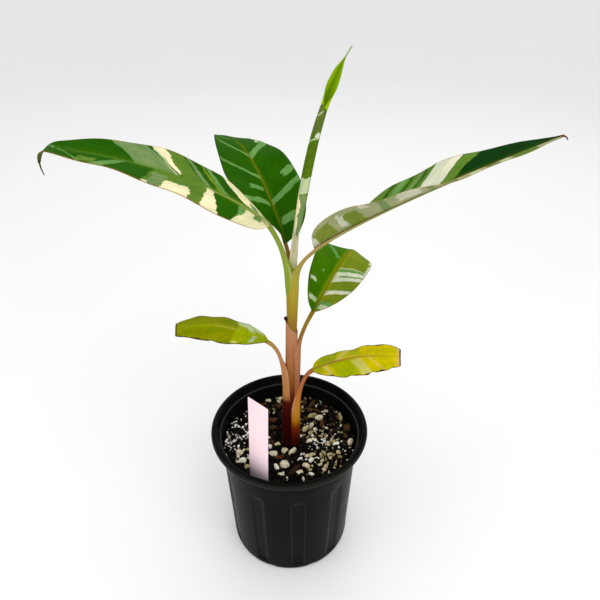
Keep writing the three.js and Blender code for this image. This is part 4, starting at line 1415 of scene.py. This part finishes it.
def make_label():
    """A blank plastic label with a pointed foot."""
    depth = (LABEL["top"] - LABEL["bottom"]) * MM
    middle = (LABEL["top"] + LABEL["bottom"]) / 2 * MM
    bpy.ops.mesh.primitive_cube_add(size=1, location=(0, 0, middle),
                                    scale=(LABEL["width"] * MM, LABEL["thickness"] * MM, depth))
    piece = start("blank_label")
    bpy.ops.object.transform_apply(location=True, rotation=False, scale=True)
    edit(piece)
    bpy.ops.mesh.select_all(action="SELECT")
    bpy.ops.mesh.bisect(plane_co=(0, 0, (LABEL["bottom"] + LABEL["point"]) * MM), plane_no=(0, 0, 1))
    pick_where(piece, lambda place: place.z < (LABEL["bottom"] + 1) * MM)
    stretch(LABEL["nose"] / LABEL["width"], 1, 1, (0, 0, 0))
    bpy.ops.mesh.select_all(action="SELECT")
    turn(LABEL["heading"], "Z", (0, 0, 0))
    turn(LABEL["lean"], "Y", (0, 0, 0))
    shift((LABEL["x"] * MM, LABEL["y"] * MM, 0))
    done()
    apply_modifier(piece, "BEVEL", width=LABEL["corner"] * MM, segments=2, limit_method="ANGLE")
    smooth(piece, 40)
    wear(piece, label_finish())
    stand_for(piece, "plant_label")


# ---- stage --------------------------------------------------------------------------------

CAMERA = {"place": (8.2, -330.3, 450.8), "down": 33.66, "lens": 35.86, "sensor": 36}
# From here on sizes are in metres: each softbox has its place, size and watts.
FLOOR = {"size": 16, "height": -0.0002}
SKY = 0.88
SOFTBOXES = {
    "key": ((0.35, -0.6, 1.15), 0.8, 5),
    "fill": ((-0.9, -0.4, 0.8), 0.7, 1.5),
    "back": ((0.1, 0.9, 0.9), 0.8, 1.5),
}
LIT_POINT = (0, 0, 0.2)


def make_stage():
    bpy.ops.mesh.primitive_plane_add(size=FLOOR["size"], location=(0, 0, FLOOR["height"]))
    floor = start("floor")
    wear(floor, floor_finish())
    camera = bpy.data.objects.new("camera", bpy.data.cameras.new("camera"))
    bpy.context.scene.collection.objects.link(camera)
    camera.location = Vector(CAMERA["place"]) * MM
    camera.rotation_euler = (math.radians(90 - CAMERA["down"]), 0, 0)
    camera.data.lens = CAMERA["lens"]
    camera.data.sensor_width = CAMERA["sensor"]
    camera.data.clip_start = 0.01
    bpy.context.scene.camera = camera
    world = bpy.data.worlds.new("studio")
    world.use_nodes = True
    sky = world.node_tree.nodes["Background"]
    sky.inputs["Color"].default_value = (1, 1, 1, 1)
    sky.inputs["Strength"].default_value = SKY
    bpy.context.scene.world = world
    bpy.context.scene.view_settings.view_transform = "Standard"
    for name, (place, size, watts) in SOFTBOXES.items():
        softbox(name, place, size, watts)


def softbox(name, place, size, watts):
    lamp = bpy.data.lights.new(name, "AREA")
    lamp.energy = watts
    lamp.size = size
    lamp_object = bpy.data.objects.new(name, lamp)
    bpy.context.scene.collection.objects.link(lamp_object)
    lamp_object.location = place
    lamp_object.rotation_euler = (Vector(LIT_POINT) - Vector(place)).to_track_quat("-Z", "Y").to_euler()


# ---- the plant ----------------------------------------------------------------------------

make_pot()
make_mix()
taken_spots = []
for number, (kind, facts) in enumerate(GRAINS.items()):
    make_grains(kind, facts, SEED + number, taken_spots)
make_label()
make_stem()
make_old_sheath()
template = flat_blade()
for name, leaf in LEAVES.items():
    make_stalk(name, leaf)
    make_blade(template, name, leaf)
    if leaf["tail"]:
        make_tail(name, leaf)
bpy.data.objects.remove(template)
make_stage()
